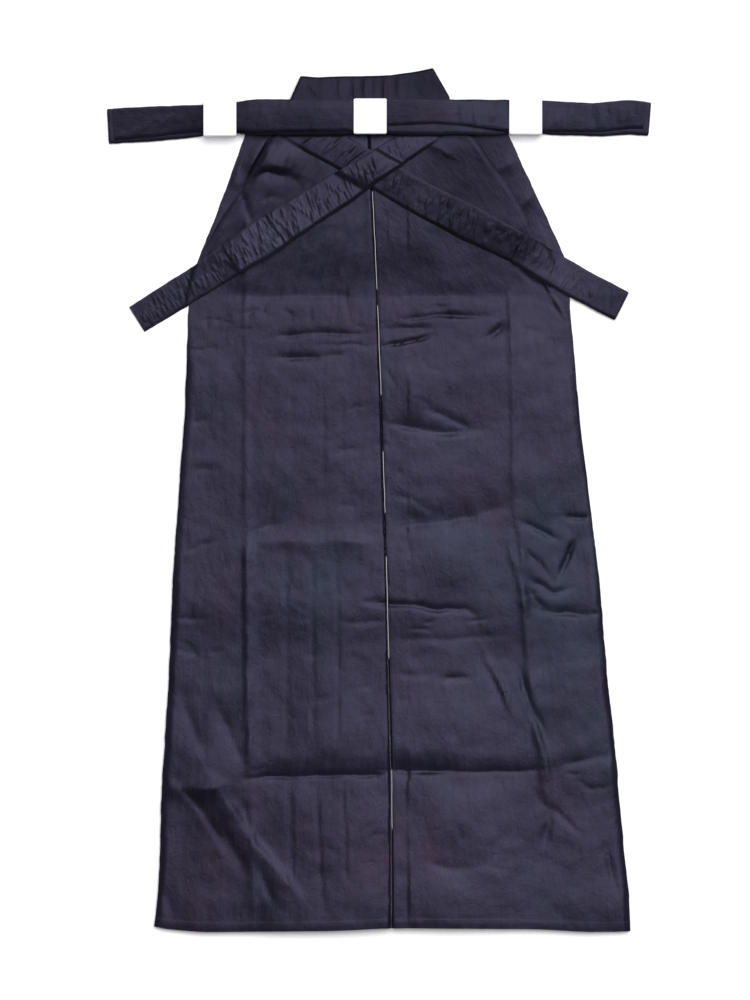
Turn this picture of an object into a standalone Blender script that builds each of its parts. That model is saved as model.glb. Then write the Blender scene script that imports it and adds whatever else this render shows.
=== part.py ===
"""Hakama trousers laid flat with the back side up: folded cloth walls, ties and paper bands."""
import math
from collections import namedtuple

import bmesh
import bpy
from mathutils import Vector
from mathutils.bvhtree import BVHTree

# All sizes below are millimetres. "down" is the distance from the waist seam towards the hem,
# x runs to the right across the back, and heights are above the surface the garment lies on.
MM = 0.001
SEAM_GAP = 0.3
CLOTH = 1.2
LAYER_GAP = 0.4
LAYER_STEP = CLOTH + LAYER_GAP
TIE_CLOTH = 1.5
PAPER = 0.5
HEM_LOWEST = 989.0
BOARD_RISE = 81.8
WAIST_Y = (HEM_LOWEST - BOARD_RISE) / 2
CROTCH_DOWN = 560.0
FOLD_STEPS = 3
OFF_EDGE = 0.05

CentreRow = namedtuple("CentreRow", "down x")
OutlineRow = namedtuple("OutlineRow", "down left right")
BackRow = namedtuple("BackRow", "down left right lift slit")
HemRow = namedtuple("HemRow", "x down")
Pleat = namedtuple("Pleat", "waist_offset hem_offset waist_depth hem_depth")
PressLine = namedtuple("PressLine", "waist_offset hem_offset")
BoardColumn = namedtuple("BoardColumn", "top_x top_down mid_x mid_down base_x")
RouteRow = namedtuple("RouteRow", "x down width")
Station = namedtuple("Station", "x y along_x along_y half_width")
PathPoint = namedtuple("PathPoint", "x z heading")

# The centre pleat line leans a little and stands straight near the hem.
CENTRE_ROWS = [
    CentreRow(0, -12.5),
    CentreRow(169, -4.3),
    CentreRow(417, 5.5),
    CentreRow(640, 11.0),
    CentreRow(838, 16.0),
    CentreRow(HEM_LOWEST, 15.5),
]

# The whole outline is the front's; it is the wider one beside the side openings.
FRONT_ROWS = [
    OutlineRow(0, -166, 161),
    OutlineRow(46, -182, 182),
    OutlineRow(100, -202, 207),
    OutlineRow(158, -225, 233),
    OutlineRow(212, -236, 237),
    OutlineRow(350, -241, 249),
    OutlineRow(503, -252, 267),
    OutlineRow(640, -258, 279),
    OutlineRow(797, -268, 296),
    OutlineRow(947, -274, 310),
    OutlineRow(HEM_LOWEST, -278, 312),
]

# lift raises the cloth between the cross folds; slit is the width of the open pleat line.
BACK_ROWS = [
    BackRow(-3, -126, 114, 0.0, 0.6),
    BackRow(20, -142, 129, 0.6, 0.6),
    BackRow(46, -156, 147, 1.6, 0.6),
    BackRow(72, -171, 166, 2.0, 0.6),
    BackRow(104, -195, 184, 2.2, 0.6),
    BackRow(142, -216, 201, 1.6, 0.7),
    BackRow(198, -234, 224, 0.3, 0.7),
    BackRow(237, -236, 238, 2.4, 0.7),
    BackRow(340, -240, 247, 3.4, 0.8),
    BackRow(454, -248, 260, 2.8, 0.9),
    BackRow(505, -252, 267, 1.2, 1.0),
    BackRow(560, -255, 273, 3.4, 1.0),
    BackRow(680, -260, 283, 3.4, 1.8),
    BackRow(765, -265, 292, 3.2, 2.8),
    BackRow(794, -267, 295, 0.3, 2.2),
    BackRow(830, -269, 297, 3.0, 2.2),
    BackRow(890, -270, 303, 3.0, 2.8),
    BackRow(947, -273, 309, 1.8, 3.0),
    BackRow(976, -276, 310, 0.8, 3.0),
    BackRow(HEM_LOWEST, -277, 311, 0.3, 3.0),
]

HEM_ROWS = [
    HemRow(-278, 981),
    HemRow(-253, 988.5),
    HemRow(-53, 986.5),
    HemRow(16, 983),
    HemRow(200, 984.5),
    HemRow(273, 989),
    HemRow(312, 987),
]

# Offsets are from the centre line, the outermost pleat first.
LEFT_PLEATS = [Pleat(90, 172, 24, 44), Pleat(52, 115, 20, 42), Pleat(18, 58, 14, 40)]
RIGHT_PLEATS = [Pleat(85, 188, 26, 55), Pleat(30, 98, 24, 60)]
PLEAT_DROP = 12.0
LEFT_PRESS = PressLine(156, 178)
RIGHT_PRESS = PressLine(158, 188)
PRESS_HEIGHT = 1.0
BACK_PLEAT_WAIST = 30.0
BACK_PLEAT_HEM = 60.0

BOARD_THICKNESS = 4.5
BOARD_EDGE = 3.2
BOARD_BASE_DOWN = -3.3
BOARD_SLOPE = 0.051
BOARD_COLUMNS = [
    BoardColumn(-97, -72, -109, -45, -119),
    BoardColumn(-73, -71, -80, -45, -84),
    BoardColumn(-32, -72, -34, -45, -36),
    BoardColumn(10, -73, 8, -46, 6),
    BoardColumn(40, -77, 50, -46, 52),
    BoardColumn(67, -BOARD_RISE, 87, -47, 94),
]

# Centre line and width of each tie as it lies.
FRONT_TIE_ROUTE = [
    RouteRow(-334.5, -11, 42),
    RouteRow(-278, -14, 42),
    RouteRow(-217, -18, 38),
    RouteRow(-176, -21, 38),
    RouteRow(-150, -22, 42),
    RouteRow(0, -22, 41),
    RouteRow(161, -22, 42),
    RouteRow(202, -22, 41),
    RouteRow(268, -19, 40),
    RouteRow(310, -22, 42),
    RouteRow(334.5, -20, 41),
]
BACK_TIE_LEFT_ROUTE = [
    RouteRow(-101, -10, 44),
    RouteRow(-79, 3, 44),
    RouteRow(-38, 27, 41),
    RouteRow(3, 51, 40),
    RouteRow(57, 82, 42),
    RouteRow(112, 110, 44),
    RouteRow(177, 143, 38),
    RouteRow(248, 185, 39),
    RouteRow(300, 212, 39),
]
BACK_TIE_RIGHT_ROUTE = [
    RouteRow(71, -11, 34),
    RouteRow(40, 10, 34),
    RouteRow(-17, 48, 36),
    RouteRow(-45, 66, 42),
    RouteRow(-112, 108, 45),
    RouteRow(-146, 131, 47),
    RouteRow(-176, 150, 43),
    RouteRow(-216, 177, 38),
    RouteRow(-300, 229, 37),
]
TIE_SPACING = 15.0
LEFT_TIE_FLAP = 146.0
RIGHT_TIE_FLAP = 154.0
RIGHT_TIE_TUCK = 60.0
BUNDLE_MIDDLE_GAP = 4.0
BUNDLE_END_STEP = 6.0
BAND_WIDTH = 40.5
BAND_CORNER = 0.6
BAND_EASE = 0.8
LEFT_BAND_X = -217.0
CENTRE_BAND_X = -31.0
RIGHT_BAND_X = 161.5

laid_trees = []


def value_at(rows, position, column, key="down"):
    """Straight interpolation of one named column in a table sorted by its key column."""
    places = [getattr(row, key) for row in rows]
    values = [getattr(row, column) for row in rows]
    if position <= places[0]:
        return values[0]
    for index in range(1, len(rows)):
        if position <= places[index]:
            share = (position - places[index - 1]) / (places[index] - places[index - 1])
            return values[index - 1] + share * (values[index] - values[index - 1])
    return values[-1]


def mix(waist_value, hem_value, down):
    """A value that changes evenly from the waist to the hem."""
    share = min(max(down / HEM_LOWEST, 0.0), 1.0)
    return waist_value + share * (hem_value - waist_value)


def centre_x(down):
    """Where the centre pleat line and the centre seam run."""
    return value_at(CENTRE_ROWS, down, "x")


def y_of(x, down):
    """Distance up the garment; the last row follows the hem's slight wave."""
    if down >= HEM_LOWEST:
        down = value_at(HEM_ROWS, x, "down", "x")
    return WAIST_Y - down


def height_below(x, y):
    """Highest cloth already laid under a place, or the surface itself."""
    top = 0.0
    start = Vector((x * MM, y * MM, 1.0))
    for tree in laid_trees:
        hit = tree.ray_cast(start, Vector((0.0, 0.0, -1.0)))
        if hit[0] is not None:
            top = max(top, hit[0].z / MM)
    return top


def highest_in(x, y, along, across, reach_along, reach_across):
    """Highest cloth in a small field round a place; each reach is a pair, backward and forward."""
    top = 0.0
    for a in field_steps(reach_along):
        for c in field_steps(reach_across):
            place_x = x + along[0] * a + across[0] * c
            place_y = y + along[1] * a + across[1] * c
            top = max(top, height_below(place_x, place_y))
    return top


def field_steps(reach):
    """Places to look at between a backward and a forward reach, never exactly on the middle."""
    back, forward = reach
    shares = (1.0, 0.75, 0.5, 0.25)
    return ([back * share for share in shares] + [-OFF_EDGE, OFF_EDGE]
            + [forward * share for share in shares])


def remember_laid(triangles):
    """Keep a finished piece so that later pieces can lie on it."""
    points = []
    faces = []
    for triangle in triangles:
        first = len(points)
        points.extend(Vector(corner) * MM for corner in triangle)
        faces.append((first, first + 1, first + 2))
    laid_trees.append(BVHTree.FromPolygons(points, faces))


def finish_colour(name, colour, roughness):
    """A Principled finish with the piece's base colour."""
    finish = bpy.data.materials.new(name)
    finish.use_nodes = True
    shader = finish.node_tree.nodes["Principled BSDF"]
    shader.inputs["Base Color"].default_value = (*colour, 1.0)
    shader.inputs["Roughness"].default_value = roughness
    shader.inputs["Metallic"].default_value = 0.0
    return finish


def wall_triangles(rows, closed_path):
    """Corner indices of a wall whose rows hold pairs of points, one on each face of the cloth."""
    width = len(rows[0])
    spans = width if closed_path else width - 1

    def face_a(row, place):
        return 2 * (row * width + place % width)

    def face_b(row, place):
        return face_a(row, place) + 1

    quads = []
    for row in range(len(rows) - 1):
        for place in range(spans):
            for face in (face_a, face_b):
                quads.append((face(row, place), face(row + 1, place),
                              face(row + 1, place + 1), face(row, place + 1)))
        if not closed_path:
            for place in (0, width - 1):
                quads.append((face_a(row, place), face_b(row, place),
                              face_b(row + 1, place), face_a(row + 1, place)))
    for row in (0, len(rows) - 1):
        for place in range(spans):
            quads.append((face_a(row, place), face_a(row, place + 1),
                          face_b(row, place + 1), face_b(row, place)))
    return [half for a, b, c, d in quads for half in ((a, b, c), (a, c, d))]


def cloth_wall(name, rows, material, closed_path=False):
    """Build one closed wall, give it its finish and lay it for the pieces above."""
    shape = bmesh.new()
    corners = []
    for row in rows:
        for pair in row:
            for point in pair:
                corners.append(shape.verts.new(Vector(point) * MM))
    for triangle in wall_triangles(rows, closed_path):
        shape.faces.new([corners[index] for index in triangle])
    bmesh.ops.recalc_face_normals(shape, faces=shape.faces)
    mesh = bpy.data.meshes.new(name)
    shape.to_mesh(mesh)
    shape.free()
    mesh.materials.append(material)
    piece = bpy.data.objects.new(name, mesh)
    bpy.context.collection.objects.link(piece)
    points = [vertex.co / MM for vertex in mesh.vertices]
    remember_laid([[points[index] for index in face.vertices] for face in mesh.polygons])
    return piece


def fold(edge, height_in, height_out, heading):
    """A half turn of the cloth whose outside reaches edge, from one layer to the next."""
    rising = height_out > height_in
    turn = 1 if rising == (heading == 0) else -1
    side = 1 if heading == 0 else -1
    radius = abs(height_out - height_in) / 2
    middle_x = edge - side * (radius + CLOTH / 2)
    middle_z = (height_in + height_out) / 2
    points = []
    for step in range(FOLD_STEPS + 1):
        angle = math.radians(heading) + turn * math.pi * step / FOLD_STEPS
        points.append(PathPoint(middle_x + turn * radius * math.sin(angle),
                                middle_z - turn * radius * math.cos(angle), angle))
    return points


def section_pairs(path, down, side):
    """Both faces of the cloth along one cross section; side is -1 for left and 1 for right."""
    pairs = []
    for point in path:
        normal_x = -math.sin(point.heading) * CLOTH / 2
        normal_z = math.cos(point.heading) * CLOTH / 2
        pair = []
        for sign in (-1, 1):
            x = centre_x(down) - side * (point.x + sign * normal_x)
            pair.append((x, y_of(x, down), point.z + sign * normal_z))
        pairs.append(tuple(pair))
    return pairs


def front_path(pleats, row, side):
    """One cross section of a front: outer faces on the surface, each pleat folded up in three."""
    edge = row.left if side < 0 else row.right
    flat = CLOTH / 2
    path = [PathPoint(-abs(edge - centre_x(row.down)), flat, 0.0)]
    for pleat in pleats:
        place = -mix(pleat.waist_offset, pleat.hem_offset, row.down)
        depth = mix(pleat.waist_depth, pleat.hem_depth, row.down)
        path += fold(place, flat, flat + LAYER_STEP, 0)
        path += fold(place - depth, flat + LAYER_STEP, flat + 2 * LAYER_STEP, 180)
        path.append(PathPoint(place + 1.0, flat + 2 * LAYER_STEP, 0.0))
        path.append(PathPoint(place + PLEAT_DROP, flat, 0.0))
    path.append(PathPoint(-SEAM_GAP / 2, flat, 0.0))
    return path


def make_front(name, pleats, side, material):
    """A front: the outline at its side, the pleats, and the centre seam."""
    rows = [section_pairs(front_path(pleats, row, side), row.down, side) for row in FRONT_ROWS]
    return cloth_wall(name, rows, material)


def make_gusset(name, side, material):
    """The inner leg piece, a long wedge from the crotch to the hem, flat on the front."""
    rows = []
    for down in (CROTCH_DOWN, 700.0, 850.0, HEM_LOWEST - 8):
        width = 14 + 100 * (down - CROTCH_DOWN) / (HEM_LOWEST - CROTCH_DOWN)
        row = []
        for share in (0.0, 0.5, 1.0):
            x = centre_x(down) + side * (2 + width * share)
            bottom = 3 * CLOTH + 2 * LAYER_GAP + SEAM_GAP
            row.append(((x, y_of(x, down), bottom), (x, y_of(x, down), bottom + CLOTH)))
        rows.append(row)
    return cloth_wall(name, rows, material)


def back_offsets(row, side):
    """Offsets from the centre of the back's top layer, from its side edge to the pleat."""
    edge = abs((row.left if side < 0 else row.right) - centre_x(row.down))
    press = LEFT_PRESS if side < 0 else RIGHT_PRESS
    ridge = min(mix(press.waist_offset, press.hem_offset, row.down), edge - 24)
    inner = mix(BACK_PLEAT_WAIST, BACK_PLEAT_HEM, row.down) + 14
    return [edge, edge - 10, (edge - 10 + ridge + 6) / 2, ridge + 6, ridge, ridge - 6,
            (2 * ridge + inner) / 3, (ridge + 2 * inner) / 3, inner]


def neighbours(index, count):
    """An index with the ones before and after it, inside a list of this length."""
    return range(max(index - 1, 0), min(index + 2, count))


def back_heights(index, offsets, side):
    """Heights of the top layer at one row: on what lies below, raised by the row's lift."""
    row = BACK_ROWS[index]
    near_rows = [BACK_ROWS[other] for other in neighbours(index, len(BACK_ROWS))]
    near_places = [[centre_x(near.down) + side * offset for offset in back_offsets(near, side)]
                   for near in near_rows]
    heights = []
    for place, offset in enumerate(offsets):
        x = centre_x(row.down) + side * offset
        around = [places[other] for places in near_places
                  for other in neighbours(place, len(offsets))]
        below = highest_in(x, WAIST_Y - row.down, (0.0, -1.0), (1.0, 0.0),
                           (near_rows[0].down - row.down, near_rows[-1].down - row.down),
                           (min(around) - x, max(around) - x))
        lift = row.lift * min((offsets[0] - offset) / 40, 1.0)
        ridge = PRESS_HEIGHT if place == 4 and row.down > 60 else 0.0
        heights.append(below + SEAM_GAP + CLOTH / 2 + lift + ridge)
    return heights


def back_path(index, side):
    """One cross section of a back: top layer, turned under at the centre, and the pleat's inside."""
    row = BACK_ROWS[index]
    offsets = back_offsets(row, side)
    heights = back_heights(index, offsets, side)
    inside = 3 * CLOTH + 2 * LAYER_GAP + SEAM_GAP + CLOTH / 2 + row.lift
    if row.down > CROTCH_DOWN - 130:
        inside += CLOTH + SEAM_GAP
    turned = inside + LAYER_STEP
    top = turned + LAYER_STEP
    heights[-1] = max(heights[-1], top)
    path = [PathPoint(-offset, height, 0.0) for offset, height in zip(offsets, heights)]
    depth = mix(BACK_PLEAT_WAIST, BACK_PLEAT_HEM, row.down)
    path += fold(-row.slit / 2, top, turned, 0)
    path += fold(-depth, turned, inside, 180)
    path.append(PathPoint(-SEAM_GAP / 2, inside, 0.0))
    return path


def make_back(name, side, material):
    """A back: side edge, press line, and its half of the centre pleat."""
    rows = [section_pairs(back_path(index, side), BACK_ROWS[index].down, side)
            for index in range(len(BACK_ROWS))]
    return cloth_wall(name, rows, material)


def make_board(material):
    """The back board, a stiff covered trapezoid that tilts down to the surface at its top."""
    rows = []
    for share in (0.0, 0.12, 0.5, 1.0, 1.5, 1.88, 2.0):
        row = []
        for number, column in enumerate(BOARD_COLUMNS):
            if share <= 1.0:
                x = column.top_x + share * (column.mid_x - column.top_x)
                down = column.top_down + share * (column.mid_down - column.top_down)
            else:
                x = column.mid_x + (share - 1) * (column.base_x - column.mid_x)
                down = column.mid_down + (share - 1) * (BOARD_BASE_DOWN - column.mid_down)
            bottom = BOARD_SLOPE * (down + BOARD_RISE)
            at_edge = share in (0.0, 2.0) or number in (0, len(BOARD_COLUMNS) - 1)
            thickness = BOARD_EDGE if at_edge else BOARD_THICKNESS
            row.append(((x, WAIST_Y - down, bottom), (x, WAIST_Y - down, bottom + thickness)))
        rows.append(row)
    return cloth_wall("koshiita", rows, material)


def stations_along(route, start, end, spacing):
    """Evenly spaced places along a tie's route between two distances from its first row."""
    lengths = [0.0]
    for first, second in zip(route, route[1:]):
        lengths.append(lengths[-1] + math.hypot(second.x - first.x, second.down - first.down))
    count = max(2, round((end - start) / spacing) + 1)
    stations = []
    for number in range(count):
        distance = start + (end - start) * number / (count - 1)
        index = 1
        while index < len(route) - 1 and distance > lengths[index]:
            index += 1
        share = (distance - lengths[index - 1]) / (lengths[index] - lengths[index - 1])
        first = route[index - 1]
        second = route[index]
        before = route[max(index - 2, 0)]
        after = route[min(index + 1, len(route) - 1)]
        start_slope = Vector((second.x - before.x, before.down - second.down)).normalized()
        end_slope = Vector((after.x - first.x, first.down - after.down)).normalized()
        along = start_slope.lerp(end_slope, share).normalized()
        x = first.x + share * (second.x - first.x)
        down = first.down + share * (second.down - first.down)
        width = first.width + share * (second.width - first.width)
        stations.append(Station(x, WAIST_Y - down, along.x, along.y, width / 2))
    return stations


def route_length(route):
    """Length of a tie's centre line as it lies."""
    return sum(math.hypot(b.x - a.x, b.down - a.down) for a, b in zip(route, route[1:]))


def lay_run(stations, spacing):
    """Undersides of one run of a tie: three places across each station, on what lies below."""
    rows = []
    for station in stations:
        row = []
        across = (-station.along_y, station.along_x)
        for side in (-1, 0, 1):
            reach_left = -station.half_width if side >= 0 else -2.0
            reach_right = station.half_width if side <= 0 else 2.0
            x = station.x + across[0] * side * station.half_width
            y = station.y + across[1] * side * station.half_width
            below = highest_in(x, y, (station.along_x, station.along_y), across,
                               (-spacing, spacing), (reach_left, reach_right))
            row.append((x, y, below + (SEAM_GAP if below > 0 else 0.0)))
        rows.append(row)
    remember_laid(run_triangles(rows))
    return rows


def run_triangles(rows):
    """The upper face of a run, which the next run lies on."""
    triangles = []
    tops = [[(x, y, z + TIE_CLOTH) for x, y, z in row] for row in rows]
    for first, second in zip(tops, tops[1:]):
        for place in range(len(first) - 1):
            triangles.append((first[place], second[place], second[place + 1]))
            triangles.append((first[place], second[place + 1], first[place + 1]))
    return triangles


def turn_rows(last, following, outward):
    """Two rows round a hairpin fold between the end of one run and the start of the next."""
    rows = []
    rising = following[0][2] > last[0][2]
    for step in (1, 2):
        angle = math.pi * step / FOLD_STEPS
        row = []
        for lower, upper in zip(last, following):
            low = lower[2] + TIE_CLOTH / 2
            high = upper[2] + TIE_CLOTH / 2
            radius = abs(high - low) / 2
            pair = []
            for reach in (radius + TIE_CLOTH / 2, radius - TIE_CLOTH / 2):
                away = reach * math.sin(angle)
                rise = -reach * math.cos(angle) * (1 if rising else -1)
                pair.append((lower[0] + outward[0] * away, lower[1] + outward[1] * away,
                             (low + high) / 2 + rise))
            row.append(pair)
        rows.append(row)
    return rows, rising


def tie_rows(runs):
    """Pairs of points for a tie from its runs in sewing order; each run starts where one ended."""
    rows = []
    face_a_down = True
    for number, run in enumerate(runs):
        for row in run:
            pairs = [((x, y, z), (x, y, z + TIE_CLOTH)) for x, y, z in row]
            rows.append([pair if face_a_down else (pair[1], pair[0]) for pair in pairs])
        if number == len(runs) - 1:
            break
        end = Vector(run[-1][1])
        inward = Vector(run[-2][1])
        outward = (end - inward).xy.normalized()
        turns, rising = turn_rows(run[-1], runs[number + 1][0], outward)
        a_outside = face_a_down == rising
        for turn in turns:
            rows.append([(pair[0], pair[1]) if a_outside else (pair[1], pair[0]) for pair in turn])
        face_a_down = not face_a_down
    return rows


def make_back_tie_left(material):
    """Left back tie: out to its end, turned over, and back on itself to its free end."""
    length = route_length(BACK_TIE_LEFT_ROUTE)
    out = stations_along(BACK_TIE_LEFT_ROUTE, 0.0, length, TIE_SPACING)
    flap = stations_along(BACK_TIE_LEFT_ROUTE, length - LEFT_TIE_FLAP, length, TIE_SPACING)
    first = lay_run(out, TIE_SPACING)
    second = lay_run(flap, TIE_SPACING)
    laid_trees[-2:] = []
    return cloth_wall("back_tie_left", tie_rows([first, second[::-1]]), material)


def make_back_tie_right(material):
    """Right back tie: over the left one, tucked back under itself, and out to its free end."""
    length = route_length(BACK_TIE_RIGHT_ROUTE)
    step = length - RIGHT_TIE_FLAP
    tuck = step - RIGHT_TIE_TUCK
    lowest = lay_run(stations_along(BACK_TIE_RIGHT_ROUTE, tuck, length, TIE_SPACING), TIE_SPACING)
    middle = lay_run(stations_along(BACK_TIE_RIGHT_ROUTE, tuck, step, TIE_SPACING), TIE_SPACING)
    upper = lay_run(stations_along(BACK_TIE_RIGHT_ROUTE, 0.0, step, TIE_SPACING), TIE_SPACING)
    laid_trees[-3:] = []
    return cloth_wall("back_tie_right", tie_rows([upper, middle[::-1], lowest]), material)


def band_floor(start_x):
    """The underside of a paper band, laid before the tie that it will hold."""
    stations = []
    for share in (0.0, 0.5, 1.0):
        x = start_x + BAND_WIDTH * share
        down = value_at(FRONT_TIE_ROUTE, x, "down", "x")
        half_width = value_at(FRONT_TIE_ROUTE, x, "width", "x") / 2 + BAND_EASE + PAPER
        stations.append(Station(x, WAIST_Y - down, 1.0, 0.0, half_width))
    rows = []
    for station in stations:
        below = highest_in(station.x, station.y, (1.0, 0.0), (0.0, 1.0),
                           (-BAND_WIDTH / 2, BAND_WIDTH / 2),
                           (-station.half_width, station.half_width))
        bottom = below + (SEAM_GAP if below > 0 else 0.0)
        rows.append([(station.x, station.y + side * station.half_width, bottom)
                     for side in (-1, 0, 1)])
    tops = [[(x, y, z + PAPER) for x, y, z in row] for row in rows]
    triangles = []
    for first, second in zip(tops, tops[1:]):
        for place in range(2):
            triangles.append((first[place], second[place], second[place + 1]))
            triangles.append((first[place], second[place + 1], first[place + 1]))
    remember_laid(triangles)
    return rows


def make_band(name, floor_rows, material):
    """A paper band: a flat loop right round the folded tie."""
    rows = []
    for floor_row in floor_rows:
        x = floor_row[0][0]
        low_y = floor_row[0][1]
        high_y = floor_row[2][1]
        bottom = floor_row[0][2]
        below = highest_in(x, floor_row[1][1], (1.0, 0.0), (0.0, 1.0),
                           (-BAND_WIDTH / 2, BAND_WIDTH / 2),
                           (low_y - floor_row[1][1] + BAND_EASE + PAPER,
                            high_y - floor_row[1][1] - BAND_EASE - PAPER))
        top = below + SEAM_GAP + PAPER
        corner = BAND_CORNER
        ring = [(low_y + corner, bottom), (high_y - corner, bottom), (high_y, bottom + corner),
                (high_y, top - corner), (high_y - corner, top), (low_y + corner, top),
                (low_y, top - corner), (low_y, bottom + corner)]
        middle = ((low_y + high_y) / 2, (bottom + top) / 2)
        pairs = []
        for place_y, place_z in ring:
            inner_y = place_y - math.copysign(PAPER, place_y - middle[0])
            inner_z = place_z - math.copysign(PAPER, place_z - middle[1])
            if place_z not in (bottom, top):
                inner_z = place_z
            if place_y not in (low_y, high_y):
                inner_y = place_y
            pairs.append(((x, place_y, place_z), (x, inner_y, inner_z)))
        rows.append(pairs)
    return cloth_wall(name, rows, material, closed_path=True)


def make_front_tie(waist_run, material):
    """Front tie: the waist run on the surface, and each end folded back over the board."""
    length = route_length(FRONT_TIE_ROUTE)
    middle = length / 2
    sides = []
    for near, far in ((middle - BUNDLE_MIDDLE_GAP, 0.0), (middle + BUNDLE_MIDDLE_GAP, length)):
        start = min(near, far)
        end = max(near, far)
        lower = lay_run(stations_along(FRONT_TIE_ROUTE, start, end, TIE_SPACING), TIE_SPACING)
        free_start = start + (BUNDLE_END_STEP if far < near else 0.0)
        free_end = end - (BUNDLE_END_STEP if far > near else 0.0)
        upper = lay_run(stations_along(FRONT_TIE_ROUTE, free_start, free_end, TIE_SPACING),
                        TIE_SPACING)
        laid_trees[-2:] = []
        sides.append((lower, upper))
    (left_lower, left_upper), (right_lower, right_upper) = sides
    runs = [left_upper, left_lower[::-1], waist_run, right_lower[::-1], right_upper]
    return cloth_wall("front_tie", tie_rows(runs), material)


def main():
    for item in list(bpy.data.objects):
        bpy.data.objects.remove(item, do_unlink=True)
    cloth = finish_colour("navy_cloth", (0.042, 0.038, 0.062), 0.62)
    tie_cloth = finish_colour("navy_tie_cloth", (0.022, 0.020, 0.032), 0.66)
    board_cloth = finish_colour("navy_board_cloth", (0.040, 0.036, 0.058), 0.66)
    hidden_cloth = finish_colour("navy_inner_cloth", (0.030, 0.027, 0.046), 0.7)
    paper = finish_colour("white_paper", (0.86, 0.82, 0.87), 0.8)

    left_floor = band_floor(LEFT_BAND_X)
    right_floor = band_floor(RIGHT_BAND_X)
    tie_length = route_length(FRONT_TIE_ROUTE)
    waist_stations = stations_along(FRONT_TIE_ROUTE, 0.0, tie_length, TIE_SPACING)
    waist_run = lay_run(waist_stations, TIE_SPACING)
    make_front("front_left", LEFT_PLEATS, -1, cloth)
    make_front("front_right", RIGHT_PLEATS, 1, cloth)
    make_gusset("gusset_left", -1, hidden_cloth)
    make_gusset("gusset_right", 1, hidden_cloth)
    make_back("back_left", -1, cloth)
    make_back("back_right", 1, cloth)
    make_board(board_cloth)
    make_back_tie_left(tie_cloth)
    make_back_tie_right(tie_cloth)
    centre_floor = band_floor(CENTRE_BAND_X)
    make_front_tie(waist_run, tie_cloth)
    make_band("paper_band_left", left_floor, paper)
    make_band("paper_band_centre", centre_floor, paper)
    make_band("paper_band_right", right_floor, paper)


main()
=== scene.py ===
import math
from collections import namedtuple
import bpy
import numpy as np
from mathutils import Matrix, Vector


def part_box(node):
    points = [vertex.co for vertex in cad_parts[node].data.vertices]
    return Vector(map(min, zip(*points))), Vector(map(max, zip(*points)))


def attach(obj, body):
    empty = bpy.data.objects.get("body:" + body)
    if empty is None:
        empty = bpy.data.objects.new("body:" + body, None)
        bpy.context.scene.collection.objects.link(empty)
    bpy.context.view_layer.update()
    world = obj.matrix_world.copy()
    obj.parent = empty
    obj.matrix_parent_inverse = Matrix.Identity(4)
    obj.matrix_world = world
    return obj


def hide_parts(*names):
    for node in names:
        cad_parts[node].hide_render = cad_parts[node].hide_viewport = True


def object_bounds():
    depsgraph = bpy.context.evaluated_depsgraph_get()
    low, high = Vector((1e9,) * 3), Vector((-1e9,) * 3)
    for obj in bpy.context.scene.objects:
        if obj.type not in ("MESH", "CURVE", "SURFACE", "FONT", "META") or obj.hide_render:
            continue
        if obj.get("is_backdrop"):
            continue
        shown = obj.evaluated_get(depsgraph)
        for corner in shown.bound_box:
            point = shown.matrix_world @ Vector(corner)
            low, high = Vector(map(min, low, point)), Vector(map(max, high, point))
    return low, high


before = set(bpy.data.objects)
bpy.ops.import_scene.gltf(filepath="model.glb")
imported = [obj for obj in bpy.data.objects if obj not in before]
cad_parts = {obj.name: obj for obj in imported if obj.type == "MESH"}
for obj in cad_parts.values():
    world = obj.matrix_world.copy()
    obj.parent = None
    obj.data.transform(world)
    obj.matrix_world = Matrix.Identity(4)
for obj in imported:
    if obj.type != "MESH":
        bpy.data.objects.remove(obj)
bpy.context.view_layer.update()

# Lengths are in millimetres. "down" is measured from the waist seam towards the hem,
# x runs to the right across the back, and z is the height above the table.
mm = 0.001
backStart = -3                # the backs begin just above the waist seam
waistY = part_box("back_left")[1].y / mm + backStart
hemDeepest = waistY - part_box("back_left")[0].y / mm

Crease = namedtuple("Crease", "depth above below path")     # depth under 0 is a ridge
Swell = namedtuple("Swell", "rise x down reachX reachDown")
Pleat = namedtuple("Pleat", "waistOffset hemOffset waistDepth hemDepth")
Pucker = namedtuple("Pucker", "start end low high count rise width length lean")


def creaseList(rows):
    # a row is depth, width above, width below, then the x and down of each point on the line
    return [Crease(*row[:3], row[3:]) for row in rows]


def lookUp(rows, place, column=1):
    # reads a short table at each place, straight between its rows
    table = np.array(rows, float)
    return np.interp(place, table[:, 0], table[:, column])


def evenly(count):
    return np.linspace(0, 1, count)


def across(column, count):
    # the same column of values, repeated side by side
    return np.repeat(column[:, None], count, 1)


def smoothed(values, reach):
    padded = np.pad(values, reach, mode="reflect", reflect_type="odd")
    window = np.hanning(2 * reach + 3)[1:-1]
    return np.convolve(padded, window / window.sum(), "valid")


def between(grid, row, column, v, u):
    # the value inside one cell of a grid, from its four corners
    return ((grid[row, column] * (1 - u) + grid[row, column + 1] * u) * (1 - v)
            + (grid[row + 1, column] * (1 - u) + grid[row + 1, column + 1] * u) * v)


def roundNoise(x, y, size, seed):
    # smooth uneven heights, about -1 to 1
    lattice = np.random.default_rng(seed).uniform(-1, 1, (257, 257))
    u = x / size + 511.3
    v = y / size + 317.7
    i, j = np.floor(u).astype(int), np.floor(v).astype(int)
    u, v = u - i, v - j
    return between(lattice, j % 256, i % 256, v * v * (3 - 2 * v), u * u * (3 - 2 * u))


def mixedNoise(x, y, layers):
    # each layer is how high it is, how long its waves are, and its seed
    return sum(height * roundNoise(x, y, size, seed) for height, size, seed in layers)


# The outline comes from the frame: where each node is cut across, and how far it reaches there.

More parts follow.
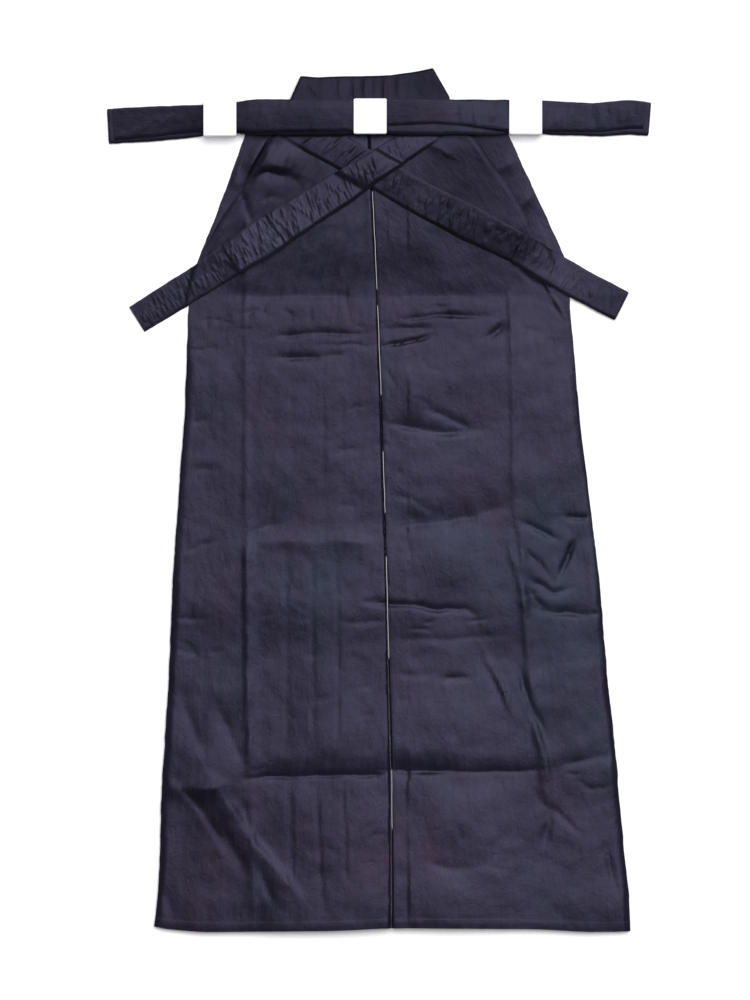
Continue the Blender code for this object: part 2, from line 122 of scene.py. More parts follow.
def nodeEdges(name):
    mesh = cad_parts[name].data
    points = np.empty(len(mesh.vertices) * 3, np.float32)
    mesh.vertices.foreach_get("co", points)
    ends = np.empty(len(mesh.edges) * 2, np.int32)
    mesh.edges.foreach_get("vertices", ends)
    return points.reshape(-1, 3)[ends.reshape(-1, 2)].astype(float) / mm


def cutReach(edges, axis, place, other):
    # lowest and highest place on one axis where a node is cut across another
    low = edges[:, :, axis].min(1)
    high = edges[:, :, axis].max(1)
    a, b = edges[(low <= place) & (high >= place) & (high > low)].swapaxes(0, 1)
    share = (place - a[:, axis]) / (b[:, axis] - a[:, axis])
    found = a[:, other] + share * (b[:, other] - a[:, other])
    return found.min(), found.max()


def sideLine(name, side, above=-20, past=1020):
    # x of a panel's side edge at each distance down, run on straight past both ends
    edges = nodeEdges(name)
    downs = np.arange(4, hemDeepest - 12, 4)
    xs = smoothed(np.array([cutReach(edges, 1, waistY - down, 0)[side > 0] for down in downs]), 3)
    first = (xs[5] - xs[0]) / (downs[5] - downs[0])
    last = (xs[-1] - xs[-6]) / (downs[-1] - downs[-6])
    return (np.r_[above, downs, past],
            np.r_[xs[0] + first * (above - downs[0]), xs, xs[-1] + last * (past - downs[-1])])


def readCentre():
    # the line where the two fronts meet
    left, right = nodeEdges("front_left"), nodeEdges("front_right")
    downs = np.arange(2, hemDeepest - 10, 8)
    xs = [(cutReach(left, 1, waistY - down, 0)[1] + cutReach(right, 1, waistY - down, 0)[0]) / 2
          for down in downs]
    return downs, smoothed(np.array(xs), 4)


def readHem(clear=12, columns=44):
    # the hem across both backs, eased over the centre pleat
    xs = []
    downs = []
    middle = centreRun[1][-1]
    for name, side in (("back_left", -1), ("back_right", 1)):
        edges = nodeEdges(name)
        ends = [edges[:, :, 0].min() + 1, edges[:, :, 0].max() - 1]
        if side < 0:
            ends[1] = min(ends[1], middle - clear)
        else:
            ends[0] = max(ends[0], middle + clear)
        for x in np.linspace(*ends, columns):
            xs.append(x)
            downs.append(waistY - cutReach(edges, 0, x, 1)[0])
    return np.array(xs), smoothed(np.array(downs), 2)


centreRun = readCentre()
hemRun = readHem()
frontSides = {-1: sideLine("front_left", -1), 1: sideLine("front_right", 1)}
backSides = {-1: sideLine("back_left", -1), 1: sideLine("back_right", 1)}
print("frame read: hem at", round(hemDeepest), "mm down")


def centreX(down):
    return np.interp(down, *centreRun)


def hemDown(x):
    return np.interp(x, *hemRun)


def edgeReach(sides, side, down):
    # how far a side seam lies from the centre; it pulls in and out a little
    wobble = mixedNoise(down, 0, [(0.5, 15, 81 + side), (0.3, 5, 84 + side)])
    return np.abs(np.interp(down, *sides[side]) - centreX(down)) + wobble


def yOf(x, down, waveStart=880):
    # the last rows follow the hem's wave
    blend = np.clip((down - waveStart) / (hemDeepest - waveStart), 0, 1)
    return waistY - down - (hemDown(x) - hemDeepest) * blend * blend


# What has been laid so far is kept as a map of heights, so each new layer can rest on it.
laid = {"cell": 1.5, "x": -375, "y": -570, "z": np.zeros((760, 500))}


def finer(grid, times):
    for axis in (0, 1):
        count = grid.shape[axis]
        place = np.linspace(0, count - 1, (count - 1) * times[axis] + 1)
        low = np.minimum(place.astype(int), count - 2)
        share = (place - low).reshape((-1, 1) if axis == 0 else (1, -1))
        grid = np.take(grid, low, axis) * (1 - share) + np.take(grid, low + 1, axis) * share
    return grid


def markLaid(x, y, z):
    steps = [np.hypot(np.diff(x, axis=axis), np.diff(y, axis=axis)).max() for axis in (0, 1)]
    times = [int(step / laid["cell"]) + 1 for step in steps]
    x, y, z = finer(x, times), finer(y, times), finer(z, times)
    row = ((y - laid["y"]) / laid["cell"] + 0.5).astype(int)
    column = ((x - laid["x"]) / laid["cell"] + 0.5).astype(int)
    np.maximum.at(laid["z"], (row, column), z)


def restOn(x, y, bridge, soft):
    # height of what lies below; cloth spans hollows narrower than twice the bridge
    reach = max(int(round(bridge / laid["cell"])), 1)
    half = max(min(int(round(soft / laid["cell"])), reach) // 2, 1)
    z = laid["z"]
    for axis in (0, 1):
        z = np.max([np.roll(z, step, axis) for step in range(-reach, reach + 1)], axis=0)
    for axis in (0, 1, 0, 1):
        z = sum(np.roll(z, step, axis) for step in range(-half, half + 1)) / (2 * half + 1)
    row = (y - laid["y"]) / laid["cell"]
    column = (x - laid["x"]) / laid["cell"]
    r = np.clip(row.astype(int), 0, z.shape[0] - 2)
    c = np.clip(column.astype(int), 0, z.shape[1] - 2)
    return between(z, r, c, row - r, column - c)


def creaseRelief(x, down, creases):
    # each crease is deepest at its middle and fades out at its ends
    relief = np.zeros_like(x)
    for number, crease in enumerate(creases):
        path = np.array(crease.path, float)
        lengths = np.hypot(*np.diff(path, axis=0).T)
        along = np.r_[0, np.cumsum(lengths)]
        nearest = np.full(x.shape, 1e9)
        upper = np.zeros(x.shape, bool)
        place = np.zeros_like(x)
        for (ax, ad), (bx, bd), length, start in zip(path, path[1:], lengths, along):
            dx, dd = (bx - ax) / length, (bd - ad) / length
            t = np.clip((x - ax) * dx + (down - ad) * dd, 0, length)
            awayX, awayD = x - ax - t * dx, down - ad - t * dd
            distance = np.hypot(awayX, awayD)
            nearer = distance < nearest
            nearest = np.where(nearer, distance, nearest)
            upper = np.where(nearer, awayX * dd - awayD * dx >= 0, upper)
            place = np.where(nearer, start + t, place)
        fade = min(0.35 * along[-1], 30) + 0.01
        end = np.clip(np.minimum(place, along[-1] - place) / fade, 0, 1)
        uneven = 0.85 + 0.15 * np.sin(place / 9 + 2.1 * number + 3)
        drop = crease.depth * (0.25 + 0.75 * end * end * (3 - 2 * end)) * uneven
        relief -= drop * np.exp(-(nearest / np.where(upper, crease.above, crease.below)) ** 1.5)
    return relief


def swellRelief(x, down, swells):
    return sum(swell.rise * np.exp(-((x - swell.x) / swell.reachX) ** 2
                                   - ((down - swell.down) / swell.reachDown) ** 2) for swell in swells)


def standFor(node):
    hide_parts(node)


def meshFrom(name, points, quads, mapping, finish, sharpest=50):
    mesh = bpy.data.meshes.new(name)
    mesh.vertices.add(len(points))
    mesh.vertices.foreach_set("co", (points * mm).astype(np.float32).ravel())
    mesh.loops.add(quads.size)
    mesh.loops.foreach_set("vertex_index", quads.astype(np.int32).ravel())
    mesh.polygons.add(len(quads))
    mesh.polygons.foreach_set("loop_start", np.arange(0, quads.size, 4, dtype=np.int32))
    mesh.update(calc_edges=True)
    layer = mesh.uv_layers.new(name="clothMap")
    layer.uv.foreach_set("vector", (mapping * mm).astype(np.float32)[quads.ravel()].ravel())
    mesh.polygons.foreach_set("use_smooth", np.ones(len(quads), bool))
    mesh.set_sharp_from_angle(angle=math.radians(sharpest))
    mesh.materials.append(finish)
    piece = bpy.data.objects.new(name, mesh)
    bpy.context.scene.collection.objects.link(piece)
    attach(piece, "root")
    return piece


def clothWall(name, points, weft, warp, thickness, finish, ring=False):
    # a closed thin wall round a grid of middle points, rows by columns
    rows, columns = points.shape[:2]
    rowStep = np.gradient(points, axis=0)
    if ring:
        columnStep = (np.roll(points, -1, 1) - np.roll(points, 1, 1)) / 2
    else:
        columnStep = np.gradient(points, axis=1)
    normal = np.cross(columnStep, rowStep)
    normal /= np.maximum(np.linalg.norm(normal, axis=2, keepdims=True), 1e-9)
    half = np.broadcast_to(np.asarray(thickness, float) / 2, (rows, columns))[..., None]
    walls = np.concatenate([(points + way * normal * half).reshape(-1, 3) for way in (-1, 1)])
    total = rows * columns
    index = np.arange(total).reshape(rows, columns)
    if ring:
        index = np.concatenate([index, index[:, :1]], axis=1)
    a, b = index[:-1, :-1].ravel(), index[:-1, 1:].ravel()
    c, d = index[1:, 1:].ravel(), index[1:, :-1].ravel()
    quads = [np.stack([a, b, c, d], 1) + total, np.stack([d, c, b, a], 1)]
    borders = [(index[0], False), (index[-1], True)]
    if not ring:
        borders = [(index[:, 0], True), (index[:, -1], False)] + borders
    for line, turned in borders:
        quad = [line[:-1], line[1:], line[1:] + total, line[:-1] + total]
        quads.append(np.stack(quad[::-1] if turned else quad, 1))
    mapping = np.stack([weft, warp], 2).reshape(-1, 2)
    return meshFrom(name, walls, np.concatenate(quads), np.concatenate([mapping, mapping]), finish)


def halfTurn(edge, low, high, outward, steps):
    # x and z round a fold from one layer to the next, its outside at edge
    radius = np.abs(high - low) / 2
    turn = np.pi * (np.arange(1, steps + 1) / (steps + 1))
    x = edge[:, None] - outward * radius[:, None] * (1 - np.sin(turn))
    z = (low + high)[:, None] / 2 + ((low - high) / 2)[:, None] * np.cos(turn)
    return x, z


# Finishes. Each helper adds one node to the tree of the socket that it is given.

def link(start, end):
    end.node.id_data.links.new(start, end)


def fill(sockets, values):
    for name, value in values.items():
        sockets[name].default_value = value


def newNode(beside, kind):
    return beside.node.id_data.nodes.new("ShaderNode" + kind)


def mathNode(operation, a, b):
    node = newNode(a, "Math")
    node.operation = operation
    link(a, node.inputs[0])
    if isinstance(b, float):
        node.inputs[1].default_value = b
    else:
        link(b, node.inputs[1])
    return node.outputs[0]


def mappedNode(where, scale, place=(0, 0, 0)):
    mapping = newNode(where, "Mapping")
    fill(mapping.inputs, {"Scale": scale, "Location": place})
    link(where, mapping.inputs["Vector"])
    return mapping.outputs["Vector"]


def noiseNode(where, perWidth, perLength, detail=2, roughness=0.5, distortion=0):
    # how many times a metre the noise changes, each way
    noise = newNode(where, "TexNoise")
    fill(noise.inputs, {"Scale": 1, "Detail": detail, "Roughness": roughness, "Distortion": distortion})
    link(mappedNode(where, (perWidth, perLength, 1)), noise.inputs["Vector"])
    return noise.outputs[0]


def spreadNode(value, low, high, toLow, toHigh):
    node = newNode(value, "MapRange")
    fill(node.inputs, {"From Min": low, "From Max": high, "To Min": toLow, "To Max": toHigh})
    link(value, node.inputs["Value"])
    return node.outputs["Result"]


def mixNode(share, first, second):
    node = newNode(share, "Mix")
    node.data_type = "RGBA"
    link(share, node.inputs["Factor"])
    for name, value in (("A", first), ("B", second)):
        socket = [s for s in node.inputs if s.name == name and s.type == "RGBA"][0]
        if isinstance(value, tuple):
            socket.default_value = (*value, 1)
        else:
            link(value, socket)
    return [s for s in node.outputs if s.type == "RGBA"][0]


def threadNode(where, direction, perMetre):
    # rounded ribs, one for each thread
    wave = newNode(where, "TexWave")
    wave.bands_direction = direction
    fill(wave.inputs, {"Scale": perMetre / 3.1831, "Distortion": 0})    # scale 1 repeats 3.18 times a metre
    link(where, wave.inputs["Vector"])
    return wave.outputs["Fac"]


def patchNode(where, x, down, reachX, reachDown, amount):
    # a soft round patch on the garment, strongest at its middle
    place = newNode(where, "TexCoord")
    scale = (1 / (reachX * mm), 1 / (reachDown * mm), 0)
    length = newNode(where, "VectorMath")
    length.operation = "LENGTH"
    start = (-x * mm * scale[0], -(waistY - down) * mm * scale[1], 0)
    link(mappedNode(place.outputs["Object"], scale, start), length.inputs[0])
    return spreadNode(length.outputs["Value"], 0, 1, amount, 0)


def bumpNode(height, distance, strength, before=None):
    bump = newNode(height, "Bump")
    fill(bump.inputs, {"Distance": distance, "Strength": strength})
    link(height, bump.inputs["Height"])
    if before is not None:
        link(before, bump.inputs["Normal"])
    return bump.outputs["Normal"]


def startFinish(name):
    # an empty finish, its shader, and the place on the flat cloth
    finish = bpy.data.materials.new(name)
    finish.use_nodes = True
    shader = finish.node_tree.nodes["Principled BSDF"]
    place = finish.node_tree.nodes.new("ShaderNodeUVMap")
    place.uv_map = "clothMap"
    return finish, shader.inputs, place.outputs["UV"]


def wovenFinish(name, look):
    # piece-dyed cloth with slubs along the warp, uneven dye and a satin face, with painted shade and painted
    # highlight patches
    finish, shader, where = startFinish(name)
    slub = noiseNode(where, 760, 14, 2, 0.6)
    streak = noiseNode(where, 150, 2.6)
    nap = noiseNode(where, 640, 520, 3, 0.7)
    crumple = noiseNode(where, 150, 105, 4, 0.6, 0.6)
    cloud = noiseNode(where, 13, 24, 3, 0.6, 0.5)
    colour, gloss = look["colour"], look["glossTint"]
    for name, *grain in (("blue", 9, 6, 3, 0.6, 0.4), ("red", 11, 7, 3, 0.6, 0.3)):
        dye = noiseNode(where, *grain)
        for patch in look[name + "Patches"]:
            dye = mathNode("ADD", dye, patchNode(where, *patch))
        share = spreadNode(dye, 0.54, 0.8, 0, look["dyeSpread"])
        colour = mixNode(share, colour, look[name + "Dye"])
        gloss = mixNode(share, gloss, look[name + "Gloss"])
    shade = spreadNode(slub, 0.25, 0.75, -look["slub"], look["slub"])
    for part, low, name in ((streak, 0.3, "streak"), (nap, 0.2, "nap"), (cloud, 0.3, "cloud")):
        shade = mathNode("ADD", shade, spreadNode(part, low, 1 - low, -look[name], look[name]))
    # painted shade and painted highlight: each patch darkens the colour and the sheen's tint, or lightens
    # them where its amount is under 0
    for patch in look["paintedShadeAndLightPatches"]:
        shade = mathNode("SUBTRACT", shade, patchNode(where, *patch))
    shade = mathNode("ADD", mathNode("MULTIPLY", shade, 0.5), 0.5)
    link(mixNode(shade, (0, 0, 0), colour), shader["Base Color"])
    link(mixNode(shade, tuple(0.3 * part for part in look["glossTint"]), gloss), shader["Specular Tint"])
    rough = look["roughness"]
    link(spreadNode(streak, 0.3, 0.7, rough - 0.05, rough + 0.05), shader["Roughness"])
    fill(shader, {"Specular IOR Level": look["gloss"], "Sheen Weight": look["sheen"], "Sheen Roughness": 0.45,
                  "Sheen Tint": (*look["sheenTint"], 1)})
    weave = mathNode("MULTIPLY", threadNode(where, "X", look["threads"]),
                     threadNode(where, "Y", look["threads"] * 0.8))
    normal = bumpNode(weave, 0.00008, look["weave"])
    normal = bumpNode(slub, 0.00012, look["weave"], normal)
    normal = bumpNode(nap, 0.0002, look["weave"], normal)
    link(bumpNode(crumple, 0.0012, look["crumple"], normal), shader["Normal"])
    return finish


bodyLook = {
    "colour": (0.012, 0.01, 0.02), "blueDye": (0.006, 0.014, 0.022), "redDye": (0.019, 0.009, 0.018),
    "glossTint": (0.64, 0.6, 1), "blueGloss": (0.55, 0.66, 1), "redGloss": (0.76, 0.57, 0.96),
    "dyeSpread": 0.75, "slub": 0.2, "streak": 0.14, "nap": 0.12, "cloud": 0.2, "roughness": 0.36,
    "gloss": 0.36, "sheen": 0.03, "sheenTint": (0.62, 0.62, 0.95), "threads": 1650, "weave": 0.4,
    "crumple": 0.34,
    # where the dye has turned: x, down, reach across, reach down, amount
    "bluePatches": [(215, 590, 90, 240, 0.34), (-90, 545, 80, 60, 0.22), (150, 500, 70, 60, 0.16),
                    (265, 740, 60, 120, 0.12)],
    "redPatches": [(-210, 900, 110, 110, 0.22), (30, 890, 110, 90, 0.18), (-90, 745, 70, 60, 0.14)],
    # painted shade and painted highlight: where the colour and sheen tint are painted darker, or painted
    # lighter if the amount is under 0; the one at -128, 2 is a painted shadow under the folded front tie
    "paintedShadeAndLightPatches": [(115, 70, 120, 90, 0.75), (97, 24, 80, 44, 0.35), (-128, 2, 16, 14, 1),
                   (-100, 80, 110, 90, 0.5), (70, 165, 120, 60, 0.35), (-30, 165, 110, 60, 0.25),
                   (-70, 236, 130, 44, 0.28), (90, 222, 130, 40, 0.28), (-80, 572, 90, 60, -0.25),
                   (-90, 836, 90, 44, 0.2), (-198, 860, 56, 80, 0.5), (90, 720, 150, 120, -0.35),
                   (110, 900, 170, 110, -0.4), (60, 420, 140, 120, -0.25), (-205, 440, 60, 160, -0.3)],
}
tieLook = dict(bodyLook, colour=(0.009, 0.008, 0.015), blueDye=(0.006, 0.01, 0.017),
               redDye=(0.012, 0.007, 0.014), roughness=0.38, gloss=0.275,
               bluePatches=[(280, -10, 60, 50, 0.26), (130, -10, 60, 40, 0.14)],
               redPatches=[(60, -8, 60, 40, 0.16)],
               # painted highlight where the amount is under 0, painted shade elsewhere
               paintedShadeAndLightPatches=[(280, -15, 90, 45, -0.3), (130, -15, 90, 45, -0.3), (222, 178, 60, 50, -0.7),
                           (120, 118, 90, 50, 0.2), (-105, -18, 90, 44, 0.28)])
# the same tie cloth again, glossier and painted lighter in patches (painted highlight), so the right tie
# looks brighter
paintedLightTieLook = dict(tieLook, gloss=0.36, paintedShadeAndLightPatches=[(-140, 130, 110, 80, -0.6), (-265, 205, 60, 50, 0.2)])
boardLook = dict(bodyLook, colour=(0.009, 0.008, 0.015), roughness=0.38, gloss=0.185, bluePatches=[],
                 # painted shade and painted highlight on the board
                 redPatches=[], paintedShadeAndLightPatches=[(60, -62, 46, 46, 0.3), (-40, -62, 50, 40, -0.3)])
innerLook = dict(bodyLook, colour=(0.008, 0.007, 0.014), roughness=0.6, bluePatches=[], redPatches=[],
                 paintedShadeAndLightPatches=[])
paperLook = {"colour": (0.86, 0.84, 0.89), "shade": (0.8, 0.79, 0.85), "fibre": 0.35}


def paperFinish(name, look):
    # uncoated paper with faint fibres
    finish, shader, where = startFinish(name)
    cloud = noiseNode(where, 60, 45, 3)
    fibre = noiseNode(where, 900, 2600, 3, 0.7)
    link(mixNode(spreadNode(cloud, 0.35, 0.7, 0, 1), look["colour"], look["shade"]), shader["Base Color"])
    link(spreadNode(fibre, 0.2, 0.8, 0.7, 0.85), shader["Roughness"])
    fill(shader, {"Specular IOR Level": 0.25})
    link(bumpNode(fibre, 0.00006, look["fibre"]), shader["Normal"])
    return finish


bodyFinish = wovenFinish("navySatinTwill", bodyLook)
tieFinish = wovenFinish("navyTieCloth", tieLook)
paintedLightTieFinish = wovenFinish("navyTieClothPaintedLight", paintedLightTieLook)
boardFinish = wovenFinish("navyBoardCloth", boardLook)
innerFinish = wovenFinish("navyInnerCloth", innerLook)
bandFinish = paperFinish("barePaper", paperLook)
print("finishes mixed:", len(bpy.data.materials))


def routePoints(rows):
    # a tie's middle line and width, evenly spaced and eased round its bends
    table = np.array(rows, float)
    along = np.r_[0, np.cumsum(np.hypot(np.diff(table[:, 0]), np.diff(table[:, 1])))]
    place = np.arange(0, along[-1] + 1, 1)
    x, down, width = (smoothed(np.interp(place, along, column), 10) for column in table.T)
    return place, x, waistY - down, width


def runPlaces(route, start, end, spacing):
    place, x, y, width = route
    at = np.linspace(start, end, max(int(abs(end - start) / spacing), 2) + 1)
    alongX = np.interp(at, place, np.gradient(x, place))
    alongY = np.interp(at, place, np.gradient(y, place))
    size = np.hypot(alongX, alongY)
    middle = [np.interp(at, place, column)[:, None] for column in (x, y, width)]
    return at, *middle, (alongX / size)[:, None], (alongY / size)[:, None]


def puckerRelief(at, share, width, puckers, seed):
    # short gathered ridges across a tie
    chance = np.random.default_rng(seed)
    relief = np.zeros_like(at)
    for pucker in puckers:
        step = (pucker.end - pucker.start) / pucker.count
        for number in range(pucker.count):
            middle = pucker.start + step * (number + chance.uniform(-0.4, 0.4))
            side = chance.uniform(pucker.low, pucker.high) * width / 2
            lean = pucker.lean + chance.uniform(-0.16, 0.16)
            rise = pucker.rise * chance.uniform(0.45, 1.3)
            wide = pucker.width * chance.uniform(0.7, 1.4)
            length = pucker.length * chance.uniform(0.5, 1.2)
            c = share * width / 2 - side
            a = at - middle
            over = c * math.cos(lean) + a * math.sin(lean)
            beside = a * math.cos(lean) - c * math.sin(lean)
            relief += rise * np.exp(-(beside / wide) ** 2 - (over / length) ** 4)
    return relief


def evenAlong(below, reach):
    # a taut strip spans short dips along its length
    if reach < 1:
        return below
    padded = np.pad(below, ((2 * reach, 2 * reach), (0, 0)), mode="edge")
    rows = len(below) + 2 * reach
    high = np.max([padded[step:step + rows] for step in range(2 * reach + 1)], axis=0)
    return np.mean([high[step:step + len(below)] for step in range(2 * reach + 1)], axis=0)


def layRun(route, look, start, end, puckers=(), seed=1, narrow=((0, 0),), shift=((0, 0),), rise=((0, 0),),
           tilt=((0, 0),), curl=((0, 0),)):
    # one flat run of a tie on what lies below, narrowed from its lower edge
    at, x, y, width, alongX, alongY = runPlaces(route, start, end, look["spacing"])
    shares = np.linspace(-1, 1, look["columns"])
    taken, shifted, raised, leaning, curled = (lookUp(table, at)[:, None]
                                               for table in (narrow, shift, rise, tilt, curl))
    half = (width - taken) / 2
    edgeWave = (0.35 * roundNoise(at, seed * 7, 20, seed + 40)
                + 0.25 * roundNoise(at, seed * 5, 6, seed + 41))[:, None]
    offset = shares * (half + edgeWave) + shifted + taken / 2
    px = x - alongY * offset
    py = y + alongX * offset
    atAll = across(at, len(shares))
    below = evenAlong(restOn(px, py, look["bridge"], look["soft"]), int(look["stretch"] / look["spacing"]))
    relief = puckerRelief(atAll, shares + 0 * atAll, half * 2, puckers, seed)
    relief += look["unevenness"] * (roundNoise(atAll, offset, 11, seed) + 1)
    relief *= np.clip((1.04 - np.abs(shares)) / 0.12, 0.25, 1)
    lower = (1 - np.sign(alongX) * shares) / 2       # 1 at the edge nearer the hem
    relief += raised + np.maximum(leaning, 0) * lower - np.minimum(leaning, 0) * (1 - lower)
    relief -= curled * np.clip(1 - (1 - lower) * half * 2 / look["curlWidth"], 0, 1) ** 1.2
    z = below + look["gap"] + look["thickness"] / 2 + relief
    z = np.maximum(z, restOn(px, py, 1.5, 1.5) + look["thickness"] / 2 + 0.04)
    markLaid(px, py, z + look["thickness"] / 2)
    return {"points": np.stack([px, py, z], 2), "offset": offset, "at": at}


def joinRuns(name, runs, look, finish):
    # joins the runs of one strip end to end with a hairpin fold between them
    parts = []
    weft = []
    warp = []
    total = 0
    for run, following in zip(runs, runs[1:] + [None]):
        points = run["points"]
        parts.append(points)
        weft.append(run["offset"])
        warp.append(across(total + np.abs(run["at"] - run["at"][0]), look["columns"]))
        total = warp[-1][-1, 0]
        if following is None:
            break
        last, first = points[-1], following["points"][0]
        outward = (last[:, :2] - points[-3, :, :2]).mean(0)
        outward = outward / np.linalg.norm(outward)
        radius = np.abs(first[:, 2] - last[:, 2]) / 2
        for share in np.arange(1, look["foldSteps"] + 1) / (look["foldSteps"] + 1):
            flat = last[:, :2] * (1 - share) + first[:, :2] * share
            flat = flat + outward * (radius * math.sin(math.pi * share))[:, None]
            z = (last[:, 2] + first[:, 2]) / 2 + (last[:, 2] - first[:, 2]) / 2 * math.cos(math.pi * share)
            parts.append(np.concatenate([flat, z[:, None]], 1)[None])
            weft.append(run["offset"][-1:])
            total += 0.8
            warp.append(np.full((1, look["columns"]), total))
    shares = np.abs(np.linspace(-1, 1, look["columns"]))
    thickness = look["thickness"] * (1 - 0.55 * shares ** 14)       # thinner at both edges
    return clothWall(name, *map(np.concatenate, (parts, weft, warp)), thickness, finish)


def backwards(run):
    return {key: value[::-1] for key, value in run.items()}


frontTie = {
    "thickness": 1, "gap": 0.15, "spacing": 2.2, "columns": 25, "bridge": 12, "soft": 12,
    "stretch": 30, "unevenness": 0.14, "foldSteps": 5, "middleGap": 4, "endStep": 6,
    # x, down and width along the middle line
    "route": [(-334.5, -11, 42), (-278, -14, 42), (-217, -18, 38), (-176, -21, 38), (-150, -22, 42),
              (0, -22, 41), (161, -22, 42), (202, -22, 41), (268, -19, 40), (310, -22, 42), (334.5, -20, 41)],
    # by distance from the left end: the lower layer's shift, how much narrower the upper layer is,
    # how far it leans, and how far each layer's lower edge curls under
    "lowerShift": [(0, -1), (112, -1), (118, 0), (158, 0), (164, -1.6), (298, -1.6), (304, 0), (344, 0),
                   (350, -1.6), (490, -1.6), (496, 0), (537, 0), (543, -1), (669, -1)],
    "upperNarrow": [(0, 2), (12, 3), (90, 5.5), (118, 5), (184, 1.5), (302, 2), (348, 8.7), (405, 12.3),
                    (449, 8.7), (494, 3.4), (534, 2.5), (608, 4), (669, 8)],
    "upperTilt": [(0, -3), (110, -3), (180, -1.8), (330, -1.2), (430, -0.8), (460, 0.5), (500, 0.4),
                  (669, -1.4)],
    "curlWidth": 3.6, "lowerCurl": [(0, 0.8), (130, 0.7), (520, 0.7), (669, 0.8)],
    "upperCurl": [(0, 0.8), (130, 0.6), (380, 0.6), (400, 0.3), (545, 0.3), (565, 0.8), (669, 0.8)],
    "puckers": [Pucker(6, 116, -0.8, 0.8, 16, 0.3, 2.6, 9, 0.75),
                Pucker(158, 300, -0.8, 0.8, 20, 0.25, 3, 9, 0.3),
                Pucker(350, 480, -0.4, 0.4, 12, 0.2, 3.5, 14, 0.05),
                Pucker(436, 664, -0.3, 0.3, 24, 0.62, 4.2, 19, 0.03),
                Pucker(540, 664, -0.8, 0.8, 16, 0.35, 2.4, 8, 0.2)],
}
bands = {
    "thickness": 0.35, "slack": 0.1, "ease": 0.25, "corner": 1.7, "bow": 0.18, "pinch": 0.9,
    "nodes": {"paperBandLeft": "paper_band_left", "paperBandCentre": "paper_band_centre",
              "paperBandRight": "paper_band_right"},
}


def bandFloor(name):
    # the paper's lower side, slid under the tie before the tie is laid
    low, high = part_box(name)
    x, y = np.meshgrid(np.linspace(low.x, high.x, 12) / mm, np.linspace(low.y, high.y, 12) / mm)
    bottom = restOn(x, y, 6, 6)
    markLaid(x, y, bottom + bands["thickness"] + bands["slack"])
    return bottom.max()


floors = {node: bandFloor(node) for node in ("paper_band_left", "paper_band_right")}
tieRoute = routePoints(frontTie["route"])
tieLength = tieRoute[0][-1]
waistRun = layRun(tieRoute, frontTie, 0, tieLength, seed=11)
print("front tie's waist run laid")


frontPanels = {
    "thickness": 0.8, "layerGap": 0.2, "fineRows": 1.9, "rows": 9, "fineUntil": 215, "foldSteps": 4,
    "sideColumns": 44, "turnIn": 12, "unevenness": 0.15,
    "pleats": {-1: [Pleat(90, 172, 24, 44), Pleat(52, 115, 20, 42), Pleat(18, 58, 14, 40)],
               1: [Pleat(85, 188, 26, 55), Pleat(30, 98, 24, 60)]},
    # the mouth of each side opening, and the outer strip beside it
    "creases": creaseList([
        (-3, 2.4, 10, (-134, -6), (-144, 14), (-160, 42), (-168, 58)),
        (-1, 7, 8, (-176, 36), (-174, 52), (-184, 70)),
        (-1, 4, 5, (-196, 90), (-208, 120), (-222, 148)),
        (-2.8, 10, 9, (138, 48), (154, 39), (170, 32)),
        (-2.6, 10, 10, (166, 96), (180, 82), (194, 72)),
        (-0.6, 4, 5, (196, 110), (206, 130), (220, 160)),
    ]),
}


def panelRows(look, start=-0.6):
    count = int((hemDeepest - look["fineUntil"]) / look["rows"]) + 1
    return np.r_[np.arange(start, look["fineUntil"], look["fineRows"]),
                 np.linspace(look["fineUntil"], hemDeepest, count)]


def onLine(waistValue, hemValue, down):
    return waistValue + (hemValue - waistValue) * np.clip(down / hemDeepest, 0, 1)


